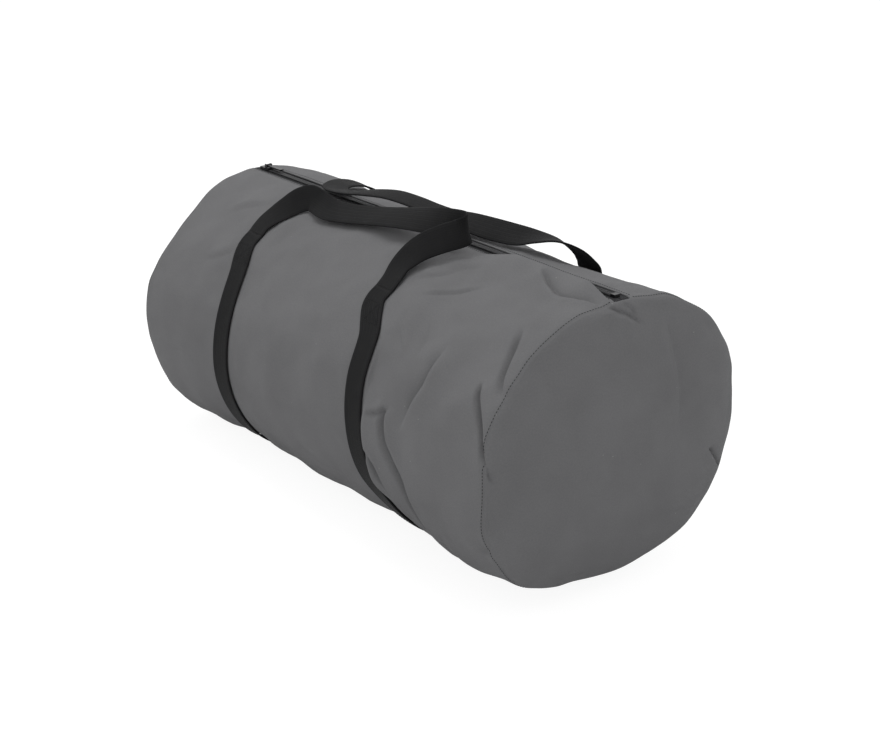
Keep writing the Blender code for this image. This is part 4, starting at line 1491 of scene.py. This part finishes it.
@dataclass
class CanvasBag(Pieces):
    """The carry bag's canvas: the long body panel and the two round ends."""

    rows_far: int = 69
    rows_middle: int = 101
    rows_near: int = 57
    fine_from: float = 0.105
    fine_to: float = 0.235
    bulge: float = 0.021
    seam_stitch_inset: float = 0.0022
    slit_stitch_inset: float = 0.0030
    binding_depth: float = 0.0046
    binding_thickness: float = 0.0012

    def girth(self) -> Array:
        """Angles round the body from one edge of the slit to the other, closer together in front.

        Returns:
            The angles.
        """
        edge = self.form.on_circle(self.form.slit_half_width)
        steps = np.array([0, 0.5, 1.2, 2.2, 3.4, 5.0, 7.5, 10.5]) / 1000
        near_edge = edge + np.degrees(steps / self.form.radius)
        front = np.linspace(near_edge[-1], 146, 178)[1:]
        below = np.linspace(146, 214, 22)[1:]
        rear = np.linspace(214, 360 - near_edge[-1], 70)[1:-1]
        return np.concatenate([near_edge, front, below, rear, 360 - near_edge[::-1]])

    def stations(self) -> Array:
        """Places along the body, closer together at the near end.

        Returns:
            The places.
        """
        half = self.form.length / 2
        rim = np.array([0, 0.0012, 0.0028, 0.005])
        far = np.linspace(-half + 0.008, self.fine_from, self.rows_far)
        middle = np.linspace(self.fine_from, self.fine_to, self.rows_middle)[1:]
        near = np.linspace(self.fine_to, half - 0.008, self.rows_near)[1:]
        return np.concatenate([-half + rim, far, middle, near, (half - rim)[::-1]])

    def build_body(self) -> None:
        """The body panel, with its folds and turned edges."""
        along, around = np.meshgrid(self.stations(), self.girth(), indexing="ij")
        along = self.form.beside_bands(along, around)
        aside = np.radians(np.abs(turn_from(around, 0))) * self.form.radius - self.form.slit_half_width
        turned_in = 0.0009 * np.exp(-np.maximum(aside, 0) / 0.0006)
        lift = -self.form.seam_dip(along) - turned_in
        reach = self.form.reach(along, around) + lift
        lining = lowest_near(reach, 2) - self.form.canvas
        place = np.stack([along, np.zeros_like(along), np.full_like(along, self.form.axis_height)], -1)
        out = self.form.out(around)
        outer = place + out * reach[..., None]
        inner = (place + out * lining[..., None])[::2, ::2]
        uv = np.stack([along, np.radians(around) * self.form.radius], -1)
        body = Mesher.lined_wall("canvas_body", outer, inner, uv)
        self.wardrobe.settle(body, Slot.CANVAS, "body_panel")

    def build_end(self, name: str, side: int, node: str, folds: Sequence[Crease]) -> None:
        """A round end, dished out by what is packed behind it.

        Args:
            name: The piece's name.
            side: 1 for the near end and -1 for the far one.
            node: The CAD node that it replaces.
            folds: The folds in it, by reach and angle.
        """
        shares = np.concatenate([
            [1.0, 0.994, 0.985], np.linspace(0.974, 0.70, 23), np.linspace(0.685, 0.02, 34),
        ])
        share, around = np.meshgrid(shares, self.end_angles(), indexing="ij")
        rim_at = side * self.form.length / 2
        rim_row = np.full(around.shape, rim_at)
        rim = self.form.reach(rim_row, around) - self.form.seam_dip(rim_row)
        reach = rim * share
        turn = np.radians(around)
        level, across = reach * np.cos(turn), -reach * np.sin(turn)
        rise = self.bulge * (1 - share**2) ** 0.72
        slack = WAVES_WIDE if side > 0 else Waves(seed=31, shortest=0.06, longest=0.15)
        inside = smooth_step(1.0, 0.965, share)
        rise = rise + (slack.at(level, across) * 0.0012 + WAVES_FINE.at(level, across) * 0.0003) * inside
        gathers = GATHER_WAVES.at(turn * self.form.radius + side, share * 0.05)
        rise = rise + 0.0010 * gathers * hill(share, 0.94, 0.055)
        for fold in flat_creases(folds, self.on_face):
            rise = rise + fold.at(level, across) * inside
        layers = []
        for back in (0.0, self.form.canvas):
            x = rim_at + side * (0.0004 + rise - back)
            layers.append(np.stack([x, across, self.form.axis_height + level], -1))
        uv = np.stack([across, level], -1)
        made = self.closed_dish(name, layers, uv)
        self.wardrobe.settle(made, Slot.CANVAS, node)

    @staticmethod
    def on_face(reach: float, around: float) -> tuple[float, float]:
        """The place on an end's face, up and across, of a reach and an angle."""
        return reach * math.cos(math.radians(around)), -reach * math.sin(math.radians(around))

    @staticmethod
    def end_angles() -> Array:
        """Angles round an end, closer together where its folds are.

        Returns:
            The angles.
        """
        spans = (
            (0, 26, 44), (26, 66, 36), (66, 96, 40), (96, 244, 132), (244, 268, 44), (268, 332, 58),
            (332, 360, 48),
        )
        return np.concatenate([np.linspace(low, high, count, endpoint=False) for low, high, count in spans])

    @staticmethod
    def closed_dish(name: str, layers: Sequence[Array], uv: Array) -> Object:
        """A dish with a thickness, closed at its middle and round its rim.

        Args:
            name: The piece's name.
            layers: Its outer and its inner face, by ring, column and coordinate.
            uv: Each point's place on the cloth.

        Returns:
            The new object, with its faces pointing out.
        """
        rings, columns = layers[0].shape[:2]
        half = rings * columns
        faces = Mesher.grid_faces(rings, columns, True) + Mesher.grid_faces(rings, columns, True, half, True)
        points = [layer.reshape(-1, 3) for layer in layers]
        middles = [layer[-1].mean(0) for layer in layers]
        last = (rings - 1) * columns
        for c in range(columns):
            d = (c + 1) % columns
            faces.append((last + c, last + d, 2 * half))
            faces.append((half + last + d, half + last + c, 2 * half + 1))
            faces.append((d, c, half + c, half + d))
        every = np.concatenate([*points, np.array(middles)])
        places = np.concatenate([uv.reshape(-1, 2), uv.reshape(-1, 2), np.zeros((2, 2))])
        return Mesher.face_out(Mesher.build(name, every, faces, places))

    def build_seam_threads(self) -> None:
        """The stitches in the two round seams and along both edges of the slit."""
        around = np.linspace(5.5, 354.5, 420)
        paths = []
        for side in (-1, 1):
            along = np.full(around.shape, side * (self.form.length / 2 - self.seam_stitch_inset))
            lift = -self.form.seam_dip(along) + STITCH_LIFT
            paths.append((self.form.point(along, around, lift), self.form.out(around)))
        along = np.linspace(-self.form.length / 2 + 0.006, self.form.length / 2 - 0.006, 240)
        row = self.form.on_circle(self.form.slit_half_width + self.slit_stitch_inset)
        for side in (-1, 1):
            angle = np.full(along.shape, side * row)
            paths.append((self.form.point(along, angle, STITCH_LIFT), self.form.out(angle)))
        self.maker.row("thread_seams", paths, SEAM_STITCHES, Slot.THREAD)

    def build_bindings(self) -> None:
        """The tape over the raw edges of the round seams, inside."""
        around = np.linspace(0, 360, 160, endpoint=False)
        for name, side in (("near", 1), ("far", -1)):
            rows = side * (self.form.length / 2 - np.array([0.0006, 0.004, 0.008, 0.0120]))
            along, angle = np.meshgrid(rows, around, indexing="ij")
            ripple = 0.0003 * np.sin(np.radians(angle) * 60)
            flat = -self.binding_depth - self.form.seam_dip(along) + ripple
            outer = self.form.point(along, angle, flat)
            inner = self.form.point(along, angle, flat - self.binding_thickness)
            uv = np.stack([along, np.radians(angle) * self.form.radius], -1)
            tape = Mesher.wall(f"binding_{name}", outer, inner, uv, wrap=True)
            self.wardrobe.settle(tape, Slot.ZIP_TAPE, f"{name}_seam_binding")

    def build(self) -> None:
        """Makes the canvas and its seams."""
        self.build_body()
        self.build_end("canvas_near_end", 1, "near_end_panel", END_CREASES)
        self.build_end("canvas_far_end", -1, "far_end_panel", END_CREASES[5:])
        self.build_seam_threads()
        self.build_bindings()


@dataclass
class TopZip(Pieces):
    """The zip along the top: two tapes, two coils, its stops and its slider."""

    tape_drop: float = 0.0018
    under_canvas: float = 0.0005
    tape_thickness: float = 0.0010
    tape_reach: float = 0.019
    pitch: float = 0.0017
    wire: float = 0.00042
    coil_widened: float = 0.0008
    coil_lowered: float = 0.0003
    coil_shift: float = 0.0003

    def build_tapes(self) -> None:
        """The two woven tapes, level under the coils and pressed up against the canvas beside them."""
        along = np.linspace(-self.form.length / 2, self.form.length / 2, 240)
        asides = np.array([0.0005, 0.0012, 0.0038, 0.0062, 0.0086, 0.0096, 0.0125, 0.0155, self.tape_reach])
        for name, side in (("front", -1), ("rear", 1)):
            x, aside = np.meshgrid(along, asides, indexing="ij")
            angle = -side * np.degrees(np.arcsin(aside / self.form.radius))
            under = self.form.reach(x, angle) - self.form.seam_dip(x) - self.form.canvas - self.under_canvas
            level = np.sqrt(self.form.radius**2 - aside**2)
            beside = np.minimum(level - self.tape_drop, under * np.cos(np.radians(angle)))
            height = np.where(aside > self.form.slit_half_width - 0.0012, beside, level - self.tape_drop)
            outer = np.stack([x, side * aside, self.form.axis_height + height], -1)
            inner = outer - np.array([0, 0, self.tape_thickness])
            uv = np.stack([aside, x], -1)
            tape = Mesher.wall(f"zip_tape_{name}_cloth", outer, inner, uv)
            self.wardrobe.settle(tape, Slot.ZIP_TAPE, f"zip_tape_{name}")

    def build_coils(self) -> None:
        """The two nylon coils that lock together."""
        low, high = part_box("zip_coil_front")
        run = high.x - low.x
        sizes = {
            "Turns": run / self.pitch, "Run": run, "Width": high.y - low.y + self.coil_widened,
            "Height": high.z - low.z - self.coil_lowered, "Wire": self.wire,
        }
        for name, side in (("front", -1), ("rear", 1)):
            low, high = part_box(f"zip_coil_{name}")
            shift = self.pitch / 2 if side > 0 else 0.0
            across = (low.y + high.y) / 2 - side * self.coil_shift
            start = Vector((low.x + shift, across, (low.z + high.z) / 2))
            self.maker.coil(f"zip_coil_{name}_turns", start, sizes, Slot.COIL, f"zip_coil_{name}")

    def build(self) -> None:
        """Makes the cloth and coils, and dresses the metal parts."""
        self.build_tapes()
        self.build_coils()
        for name in ("zip_stop_near", "zip_stop_far", "zip_slider", "zip_pull_tab"):
            self.wardrobe.dress_cad(name, Slot.METAL)


@dataclass(frozen=True)
class StrapShape:
    """A strap's section: flat, with rounded woven edges."""

    width: float = 0.030
    thickness: float = 0.0022
    reaches: tuple[float, ...] = (-1.0, -0.985, -0.94, -0.72, -0.36, 0.0, 0.36, 0.72, 0.94, 0.985, 1.0)
    heights: tuple[float, ...] = (0.30, 0.78, 0.98, 1.0, 1.0, 1.0, 1.0, 1.0, 0.98, 0.78, 0.30)

    def ring(self) -> tuple[Array, Array]:
        """The section's points.

        Returns:
            How far across each is, and how high above the strap's under face.
        """
        across = np.array(self.reaches) * self.width / 2
        top = np.array(self.heights) * self.thickness
        under = self.thickness - top
        under[0] = under[-1] = self.thickness * 0.28
        under = np.minimum(under, top * 0.9)
        return np.concatenate([across, across[::-1]]), np.concatenate([top, under[::-1]])


@dataclass
class Straps(Pieces):
    """The two webbing bands round the bag, and the two handles that grow out of them."""

    shape: StrapShape = StrapShape()
    band_step: float = 1.4
    handle_steps: int = 9
    root_join: float = 0.00012
    bend: float = 0.016
    gap_kept: float = 0.6
    stitch_inset: float = 0.0028
    cup: float = 0.0006
    box_side: float = 0.022
    box_from_root: float = 6.0

    def band_lift(self) -> float:
        """How far the bands' under faces lie off the canvas."""
        return self.form.band_gap * self.gap_kept

    def strap_uv(self, across: Array, length: Array) -> Array:
        """Each ring point's place on the webbing."""
        return np.stack(np.broadcast_arrays(across[None, :] + self.shape.width / 2, length[:, None]), -1)

    def band_places(self, band: Band, around: Array, across: Array) -> tuple[Array, Array]:
        """Where points across a band lie on the bag.

        Args:
            band: The band's course.
            around: The stations' angles.
            across: How far across the band each point is.

        Returns:
            The points' places along the bag and their angles.
        """
        step = 1.0
        middle = band.centre(around)
        girth = 2 * math.radians(step) * self.form.radius
        run = (band.stray.at((around + step) % 360) - band.stray.at((around - step) % 360)) / girth
        ends = np.minimum(around - around[0], around[-1] - around)
        run = run * smooth_step(0.0, 6.0, ends)
        length = np.sqrt(1 + run**2)
        along = middle[:, None] + across[None, :] / length[:, None]
        turn = np.degrees(run / length / self.form.radius)[:, None] * across[None, :]
        return along, around[:, None] - turn

    def build_band(self, band: Band) -> None:
        """A band, pressed into the canvas that it is sewn to.

        Args:
            band: The band's course.
        """
        join = math.degrees(self.root_join / self.form.radius)
        low, high = self.form.front_root + join, 360 + self.form.rear_root - join
        around = np.linspace(low, high, int((high - low) / self.band_step))
        across, height = self.shape.ring()
        along, angle = self.band_places(band, around, across)
        rings = self.form.point(along, angle, self.band_lift() + height[None, :])
        length = np.radians(around - around[0]) * self.form.radius
        made = Mesher.strap(f"webbing_{band.name}_band", rings, self.strap_uv(across, length))
        self.wardrobe.settle(made, Slot.WEBBING, f"{band.name}_band")

    def build_band_threads(self) -> None:
        """Two rows of stitches along each band."""
        paths = []
        inset = self.shape.width / 2 - self.stitch_inset
        lift = self.band_lift() + self.shape.thickness
        around = np.linspace(self.form.front_root + 1, 360 + self.form.rear_root - 1, 420)
        for band in BANDS:
            along, angle = self.band_places(band, around, np.array([-inset, inset]))
            for k in (0, 1):
                paths.append((self.form.point(along[:, k], angle[:, k], lift), self.form.out(angle[:, k])))
        self.maker.row("thread_bands", paths, BAND_STITCHES, Slot.THREAD)

    def build_boxes(self) -> None:
        """The sewn boxes at the handles' roots: a square of stitches with a cross in it."""
        lift = self.band_lift() + self.shape.thickness + STITCH_LIFT
        signs = [(-1, -1), (1, -1), (1, 1), (-1, 1), (-1, -1), (1, 1), (1, -1), (-1, 1)]
        corners = np.array(signs) * self.box_side / 2
        legs = [np.linspace(a, b, 12)[:-1] for a, b in zip(corners, corners[1:])]
        fine = np.concatenate([*legs, corners[-1:]])
        for end, root, way in (("front", self.form.front_root, 1), ("rear", 360 + self.form.rear_root, -1)):
            reach = math.degrees(self.box_side / 2 / self.form.radius)
            middle = root + way * (self.box_from_root + reach)
            around = middle + np.degrees(fine[:, 1] / self.form.radius)
            for band in BANDS:
                place = f"{end}_{band.name}"
                path = self.form.point(band.centre(around) + fine[:, 0], around, lift)
                paths = [(path, self.form.out(around))]
                self.maker.row(f"thread_{place}", paths, BOX_STITCHES, Slot.THREAD, f"{place}_stitch_box")

    def plain_canvas(self, along: float, around: float, lift: float) -> Array:
        """A point over the plain canvas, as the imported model's handles are placed."""
        reach = self.form.section(around, 0.0) - self.form.waist(np.float64(along), np.float64(around)) + lift
        return np.array([along, 0, self.form.axis_height]) + self.form.out(np.float64(around)) * reach

    def handle_frames(self, run: Sequence[tuple], root: float) -> tuple[Array, Array, Array]:
        """Places, width directions and forward directions along a handle.

        Args:
            run: The handle's chosen points.
            root: The angle of its roots.

        Returns:
            The places, the width directions and the forward directions.
        """
        left, right = (float(band.centre(root)) for band in BANDS)
        places, widths = [], []
        for share, around, lift, turn, stand in run:
            up = self.form.out(np.float64(around))
            over = -np.cross([1.0, 0, 0], up)
            flat = np.array([1.0, 0, 0]) * math.cos(math.radians(turn)) + over * math.sin(math.radians(turn))
            places.append(self.plain_canvas(left + share * (right - left), around, lift + self.form.band_gap))
            widths.append(flat * math.cos(math.radians(stand)) + up * math.sin(math.radians(stand)))
        place = curve_through(np.array(places), self.handle_steps)
        width = curve_through(np.array(widths), self.handle_steps)
        ahead = np.gradient(place, axis=0)
        for end in (0, -1):
            flat_end = width[end] / np.linalg.norm(width[end])
            ahead[end] -= flat_end * (ahead[end] @ flat_end)
        ahead /= np.linalg.norm(ahead, axis=1)[:, None]
        width -= ahead * np.einsum("ij,ij->i", width, ahead)[:, None]
        width /= np.linalg.norm(width, axis=1)[:, None]
        return place, width, ahead

    def build_handle(self, name: str, run: Sequence[tuple], root: float, body: Body) -> None:
        """A handle, which bends off its band at its two roots.

        Args:
            name: The piece's name.
            run: The handle's chosen points.
            root: The angle of its roots.
            body: The body whose CAD node it replaces.
        """
        place, width, ahead = self.handle_frames(run, root)
        face = np.cross(width, ahead)
        across, height = self.shape.ring()
        length = np.concatenate([[0], np.cumsum(np.linalg.norm(np.diff(place, axis=0), axis=1))])
        in_from_ends = np.minimum(length, length[-1] - length)
        cup = self.cup * smooth_step(0.02, 0.05, in_from_ends) * np.sin(length / 0.045)
        bow = cup[:, None] * (1 - (across / (self.shape.width / 2)) ** 2)[None, :]
        rings = (
            place[:, None, :]
            + width[:, None, :] * across[None, :, None]
            + face[:, None, :] * (height[None, :] - self.shape.thickness / 2 + bow)[..., None]
        )
        handle = Mesher.strap(name, rings, self.strap_uv(across, length))
        self.wardrobe.dress(handle, Slot.WEBBING)
        out = self.form.out(np.float64(root))
        up_the_bag = np.cross([1.0, 0, 0], out) * (1 if root > 0 else -1)
        up_the_bag = up_the_bag * np.sign(up_the_bag[2])
        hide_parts(body.value)
        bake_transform(handle)
        LOG.info("%s: %d faces, bends from the bag to %s", name, len(handle.data.polygons), body.value)

    def build(self) -> None:
        """Makes the bands, the handles and their stitching."""
        for band in BANDS:
            self.build_band(band)
        self.build_band_threads()
        self.build_boxes()
        self.build_handle("webbing_front_handle", FRONT_HANDLE_RUN, self.form.front_root, Body.FRONT_HANDLE)
        self.build_handle("webbing_rear_handle", REAR_HANDLE_RUN, self.form.rear_root, Body.REAR_HANDLE)


# Each handle's run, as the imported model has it: (share of the way from left root to right root,
# around, lift off the canvas, turn of the width off the bag's length, stand of the width)
FRONT_HANDLE_RUN = (
    (0.00, 38, 0.0009, 180, 0),
    (0.00, 33, 0.0030, 180, 1),
    (0.03, 28, 0.0060, 166, 10),
    (0.075, 23.5, 0.0095, 148, 30),
    (0.12, 19, 0.0130, 130, 50),
    (0.17, 16.7, 0.0148, 110, 57),
    (0.22, 16.5, 0.0125, 94, 42),
    (0.28, 17, 0.0105, 90, 25),
    (0.34, 17, 0.0090, 90, 18),
    (0.44, 15.5, 0.0092, 90, 16),
    (0.56, 13.5, 0.0115, 90, 18),
    (0.69, 12, 0.0160, 90, 22),
    (0.82, 11, 0.0210, 90, 30),
    (0.95, 10.5, 0.0260, 92, 45),
    (1.07, 9.5, 0.0295, 100, 64),
    (1.17, 8, 0.0300, 122, 80),
    (1.19, 11, 0.0270, 150, 72),
    (1.12, 15.5, 0.0215, 167, 47),
    (1.045, 20.5, 0.0150, 173, 26),
    (0.998, 26.5, 0.0075, 178, 9),
    (1.00, 33, 0.0030, 180, 0),
    (1.00, 38, 0.0009, 180, 0),
)
REAR_HANDLE_RUN = (
    (0.00, -42, 0.0011, 0, 0),
    (0.00, -35, 0.0030, 0, 0),
    (0.01, -24, 0.0048, 2, -2),
    (0.025, -13, 0.0078, 8, -3),
    (0.045, -4, 0.0100, 20, -6),
    (0.08, 2.5, 0.0110, 45, -10),
    (0.13, 5.5, 0.0122, 75, -14),
    (0.20, 5, 0.0145, 88, -8),
    (0.28, 2.5, 0.0185, 90, 0),
    (0.36, -0.5, 0.0205, 90, 5),
    (0.44, -2.5, 0.0190, 90, 6),
    (0.52, -4.5, 0.0155, 90, 8),
    (0.60, -5.5, 0.0135, 90, 16),
    (0.69, -7, 0.0128, 90, 32),
    (0.80, -8.5, 0.0125, 90, 42),
    (0.90, -10, 0.0138, 94, 38),
    (0.97, -12, 0.0170, 110, 16),
    (1.03, -14.5, 0.0182, 128, -6),
    (1.068, -18.5, 0.0145, 138, -15),
    (1.070, -23.5, 0.0092, 150, -12),
    (1.048, -28.5, 0.0060, 162, -6),
    (1.017, -33.5, 0.0038, 173, -1),
    (1.00, -38, 0.0024, 180, 0),
    (1.00, -42, 0.0011, 180, 0),
)


@dataclass
class RolledQuilts(Pieces):
    """The double sleeping bag inside: two quilts folded lengthwise and rolled up, tied twice."""

    room: float = 0.0135
    half_width: float = 0.320
    core: float = 0.016
    end_thickness: float = 0.018
    turns: int = 4
    step: float = 9.0
    gap: float = 0.0003
    shell: float = 0.05
    filling: float = 0.15
    lining: float = 0.05
    pinch: float = 0.30
    channel: float = 0.190
    leg_rows: int = 22
    thin_fold: float = 0.0012
    thick_fold: float = 0.0060
    side_tape: float = 0.0012
    teeth_off: float = 0.0017
    tie_half_width: float = 0.0125
    tie_faces: tuple[float, float] = (0.0017, 0.0005)

    def radii(self, turned: Array) -> tuple[Array, Array]:
        """The pack's inner and outer radius, before it is pressed to the bag's section.

        Args:
            turned: How many turns from the core.

        Returns:
            The inner radii and the outer ones.
        """
        full = self.form.radius - self.room
        reach = full - self.end_thickness

        def inner(t: Array) -> Array:
            """The inner radius."""
            return self.core + (reach - self.core) * t / self.turns

        start = inner(np.float64(self.turns)) - self.gap
        last = start + (full - start) * (turned - self.turns + 1)
        return inner(turned), np.where(turned <= self.turns - 1, inner(turned + 1) - self.gap, last)

    def point(self, along: Array, turned: Array, depth: Array, inset: float = 0.0) -> Array:
        """Points in the rolled pack.

        Args:
            along: Places along the bag.
            turned: How many turns from the core.
            depth: 0 on the pack's outer face and 1 on its inner face.
            inset: How much further in.

        Returns:
            The points.
        """
        along, turned, depth = np.broadcast_arrays(along, turned, depth)
        inner, outer = self.radii(turned)
        around = 360 * turned
        full = self.form.radius - self.room
        squash = (self.form.settled(along, around) - self.room) / full
        reach = (outer + (inner - outer) * depth - inset) * squash
        place = self.form.out(around) * reach[..., None]
        place[..., 0] += along
        place[..., 2] += self.form.axis_height
        return place

    def quilted(self, depth: Array, along: Array, turned: Array) -> Array:
        """Depths drawn together at the quilting, which keeps each quilt's filling in place.

        Args:
            depth: How deep each place lies in the pack.
            along: Places along the bag.
            turned: How many turns from the core.

        Returns:
            The new depths.
        """
        wound = turned * 2 * math.pi * self.form.radius * 0.55
        rows = hill((along + self.channel / 2) % self.channel, self.channel / 2, 0.035)
        lines = hill(wound % self.channel, self.channel / 2, 0.030)
        drawn = np.maximum(rows, lines) * self.pinch
        near = np.minimum(depth, 1 - depth)
        quilt = self.shell + self.filling + self.lining
        centre = np.where(near < quilt, quilt / 2, quilt * 1.5)
        folded = centre + (near - centre) * (1 - drawn)
        return np.where(depth <= 0.5, folded, 1 - folded)

    def build_layer(
        self, name: str, slot: Slot, depth: float, share: float, fold: float, fold_in: float
    ) -> Object:
        """One layer of the folded double bag, wound through every turn.

        Args:
            name: The CAD node's name.
            slot: Its material slot.
            depth: How deep its outer face lies in the pack.
            share: Its share of the pack's thickness.
            fold: Where along the bag its outer face folds over.
            fold_in: How much thinner it is round the fold.

        Returns:
            The piece.
        """
        turned = np.arange(0, self.turns * 360 - 6, self.step) / 360
        walls = []
        for top, fold_at, inset in ((depth, fold, 0.0), (depth + share, fold - fold_in + self.gap, self.gap)):
            out_leg = np.linspace(-self.half_width, fold_at, self.leg_rows)
            along = np.concatenate([out_leg, out_leg[::-1]])
            deep = np.repeat([top, 1 - top], self.leg_rows)
            inward = np.repeat([inset, -inset], self.leg_rows)
            x, t = np.broadcast_arrays(along[None, :], turned[:, None])
            d = self.quilted(np.broadcast_to(deep, x.shape), x, t)
            walls.append(self.point(x, t, d, np.broadcast_to(inward, x.shape)))
        uv = np.stack(np.broadcast_arrays(along[None, :], turned[:, None] * 0.6), -1)
        made = Mesher.wall(f"rolled_{name}", walls[0], walls[1], uv)
        return self.wardrobe.settle(made, slot, name)

    def build_layers(self) -> None:
        """The six layers, from the outside of the fold inwards."""
        layers = (
            ("bottom_quilt_shell", Slot.SHELL, self.shell, self.thin_fold),
            ("bottom_quilt_filling", Slot.FILLING, self.filling, self.thick_fold),
            ("bottom_quilt_lining", Slot.LINING, self.lining, self.thin_fold),
            ("top_quilt_lining", Slot.LINING, self.lining, self.thin_fold),
            ("top_quilt_filling", Slot.FILLING, self.filling, self.thick_fold),
            ("top_quilt_shell", Slot.SHELL, self.shell, self.thin_fold),
        )
        depth, fold = 0.0, self.half_width
        for name, slot, share, fold_in in layers:
            made = self.build_layer(name, slot, depth, share, fold, fold_in)
            depth += share
            fold -= fold_in

    def build_side_zips(self) -> None:
        """The zips down the quilts' open sides, wound up with them, and their sliders."""
        turned = np.arange(0, self.turns * 360 - 6, self.step) / 360
        half_leg = self.shell + self.filling + self.lining
        for name, middle in (("left", half_leg), ("right", 1 - half_leg)):
            deep = middle + np.linspace(-1, 1, 5) * (self.shell + self.filling)
            face = -self.half_width - self.gap
            d, t = np.broadcast_arrays(deep[None, :], turned[:, None])
            outer = self.point(face - self.side_tape, t, d)
            inner = self.point(face, t, d)
            uv = np.stack([d * 0.05, t * 0.6], -1)
            tape = Mesher.wall(f"rolled_{name}_side_zip", outer, inner, uv)
            self.wardrobe.settle(tape, Slot.ZIP_TAPE, f"{name}_side_zip")
            fine = np.linspace(turned[0], turned[-1], 500)
            path = self.point(face - self.teeth_off, fine, middle)
            facing = np.tile([-1.0, 0, 0], (len(fine), 1))
            self.maker.row(f"rolled_{name}_zip_teeth", [(path, facing)], SIDE_ZIP_TEETH, Slot.COIL)
            self.wardrobe.dress_cad(f"{name}_side_zip_slider", Slot.METAL)

    def build_ties(self) -> None:
        """The two ties round the roll."""
        around = np.linspace(0, 360, 180, endpoint=False)
        for band in BANDS:
            rows = float(band.centre(180)) + np.linspace(-self.tie_half_width, self.tie_half_width, 7)
            x, a = np.meshgrid(rows, around, indexing="ij")
            place = np.stack([x, np.zeros_like(x), np.full_like(x, self.form.axis_height)], -1)
            reach = (self.form.settled(x, a) - self.room)[..., None]
            out = self.form.out(a)
            layers = [place + out * (reach + lift) for lift in self.tie_faces]
            uv = np.stack([x - rows[0], np.radians(a) * self.form.radius], -1)
            tie = Mesher.wall(f"roll_tie_{band.name}", *layers, uv, wrap=True)
            self.wardrobe.settle(tie, Slot.WEBBING, f"{band.name}_roll_tie")

    def build(self) -> None:
        """Makes the roll, its zips and its ties."""
        self.build_layers()
        self.build_side_zips()
        self.build_ties()


@dataclass(frozen=True)
class Studio:
    """The floor, the lights and the camera at the photograph's viewing angle."""

    camera_place: tuple[float, float, float] = (1.41817, -1.01821, 0.78784)
    camera_azimuth: float = 53.442
    camera_elevation: float = 20.675
    camera_pixels: float = 1630.03
    image_width: float = 880.0
    sensor: float = 36.0
    glow: float = 1.16
    glow_share: float = 0.78
    fill_light: float = 0.88

    def build_floor(self) -> None:
        """A wide pale floor that shows white to the camera and keeps the object's shadow."""
        reach = 40.0
        corners = [(-reach, -reach, 0), (reach, -reach, 0), (reach, reach, 0), (-reach, reach, 0)]
        mesh = bpy.data.meshes.new("floor")
        mesh.from_pydata(corners, [], [(0, 1, 2, 3)])
        made = bpy.data.materials.new("pale floor")
        made.use_nodes = True
        board, nodes = NodeBoard(made.node_tree), made.node_tree.nodes
        pale = {"Base Color": (0.86, 0.86, 0.86, 1.0), "Roughness": 0.9}
        shader = board.feed(nodes["Principled BSDF"], pale)
        glow = board.add("ShaderNodeEmission", {"Color": (1.0, 1.0, 1.0, 1.0), "Strength": self.glow})
        share = board.math("MULTIPLY", board.seen(), self.glow_share)
        mixed = board.add("ShaderNodeMixShader", {0: share, 1: shader.outputs[0], 2: glow.outputs[0]})
        board.feed(nodes["Material Output"], {"Surface": mixed.outputs[0]})
        mesh.materials.append(made)
        floor = placed("floor", mesh)

    def build_world(self) -> None:
        """A white backdrop, and soft light from all round."""
        world = bpy.data.worlds.new("studio")
        bpy.context.scene.world = world
        world.use_nodes = True
        board = NodeBoard(world.node_tree)
        strength = board.between(board.seen(), self.fill_light, 1.0)
        board.feed(world.node_tree.nodes["Background"], {"Color": (1.0, 1.0, 1.0, 1.0), "Strength": strength})

    @staticmethod
    def aim(name: str, data: bpy.types.ID, place: Vector, ahead: Vector) -> Object:
        """A light or camera at a place, looking one way.

        Args:
            name: Its name.
            data: The light or camera.
            place: Where it is.
            ahead: The way it looks.

        Returns:
            The object that holds it.
        """
        holder = placed(name, data)
        holder.location = place
        holder.rotation_mode = "QUATERNION"
        holder.rotation_quaternion = ahead.to_track_quat("-Z", "Y")
        return holder

    def add_light(self, name: str, place: Vector, size: float, watts: float) -> None:
        """A square soft light that faces the bag.

        Args:
            name: The light's name.
            place: Where it hangs.
            size: The length of its side.
            watts: Its power.
        """
        lamp = bpy.data.lights.new(name, "AREA")
        lamp.energy, lamp.size = watts, size
        self.aim(name, lamp, place, Vector((0, 0, 0.15)) - place)

    def build_camera(self) -> None:
        """The camera, as worked out from the photograph."""
        lens = bpy.data.cameras.new("camera")
        lens.sensor_width = self.sensor
        lens.lens = self.camera_pixels / self.image_width * self.sensor
        lens.clip_start, lens.clip_end = 0.05, 100.0
        turn, rise = math.radians(self.camera_azimuth), math.radians(self.camera_elevation)
        back = Vector((math.sin(turn) * math.cos(rise), -math.cos(turn) * math.cos(rise), math.sin(rise)))
        bpy.context.scene.camera = self.aim("camera", lens, Vector(self.camera_place), -back)

    def build(self) -> None:
        """Sets the studio up."""
        bpy.context.scene.view_settings.view_transform = "Standard"
        self.build_floor()
        self.build_world()
        self.add_light("overhead", Vector((-0.25, 0.0, 1.9)), 1.0, 10.0)
        self.add_light("front left", Vector((-1.3, -1.9, 1.5)), 1.0, 4.0)
        self.build_camera()


def main() -> None:
    """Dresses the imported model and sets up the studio."""
    logging.basicConfig(level=logging.INFO, format="%(message)s")
    wardrobe = Wardrobe()
    maker = Maker(wardrobe)
    for part in (
        CanvasBag(FORM, wardrobe, maker),
        TopZip(FORM, wardrobe, maker),
        Straps(FORM, wardrobe, maker),
        RolledQuilts(FORM, wardrobe, maker),
    ):
        part.build()
        LOG.info("%s is done", type(part).__name__)
    Studio().build()


if __name__ == "__main__":
    main()
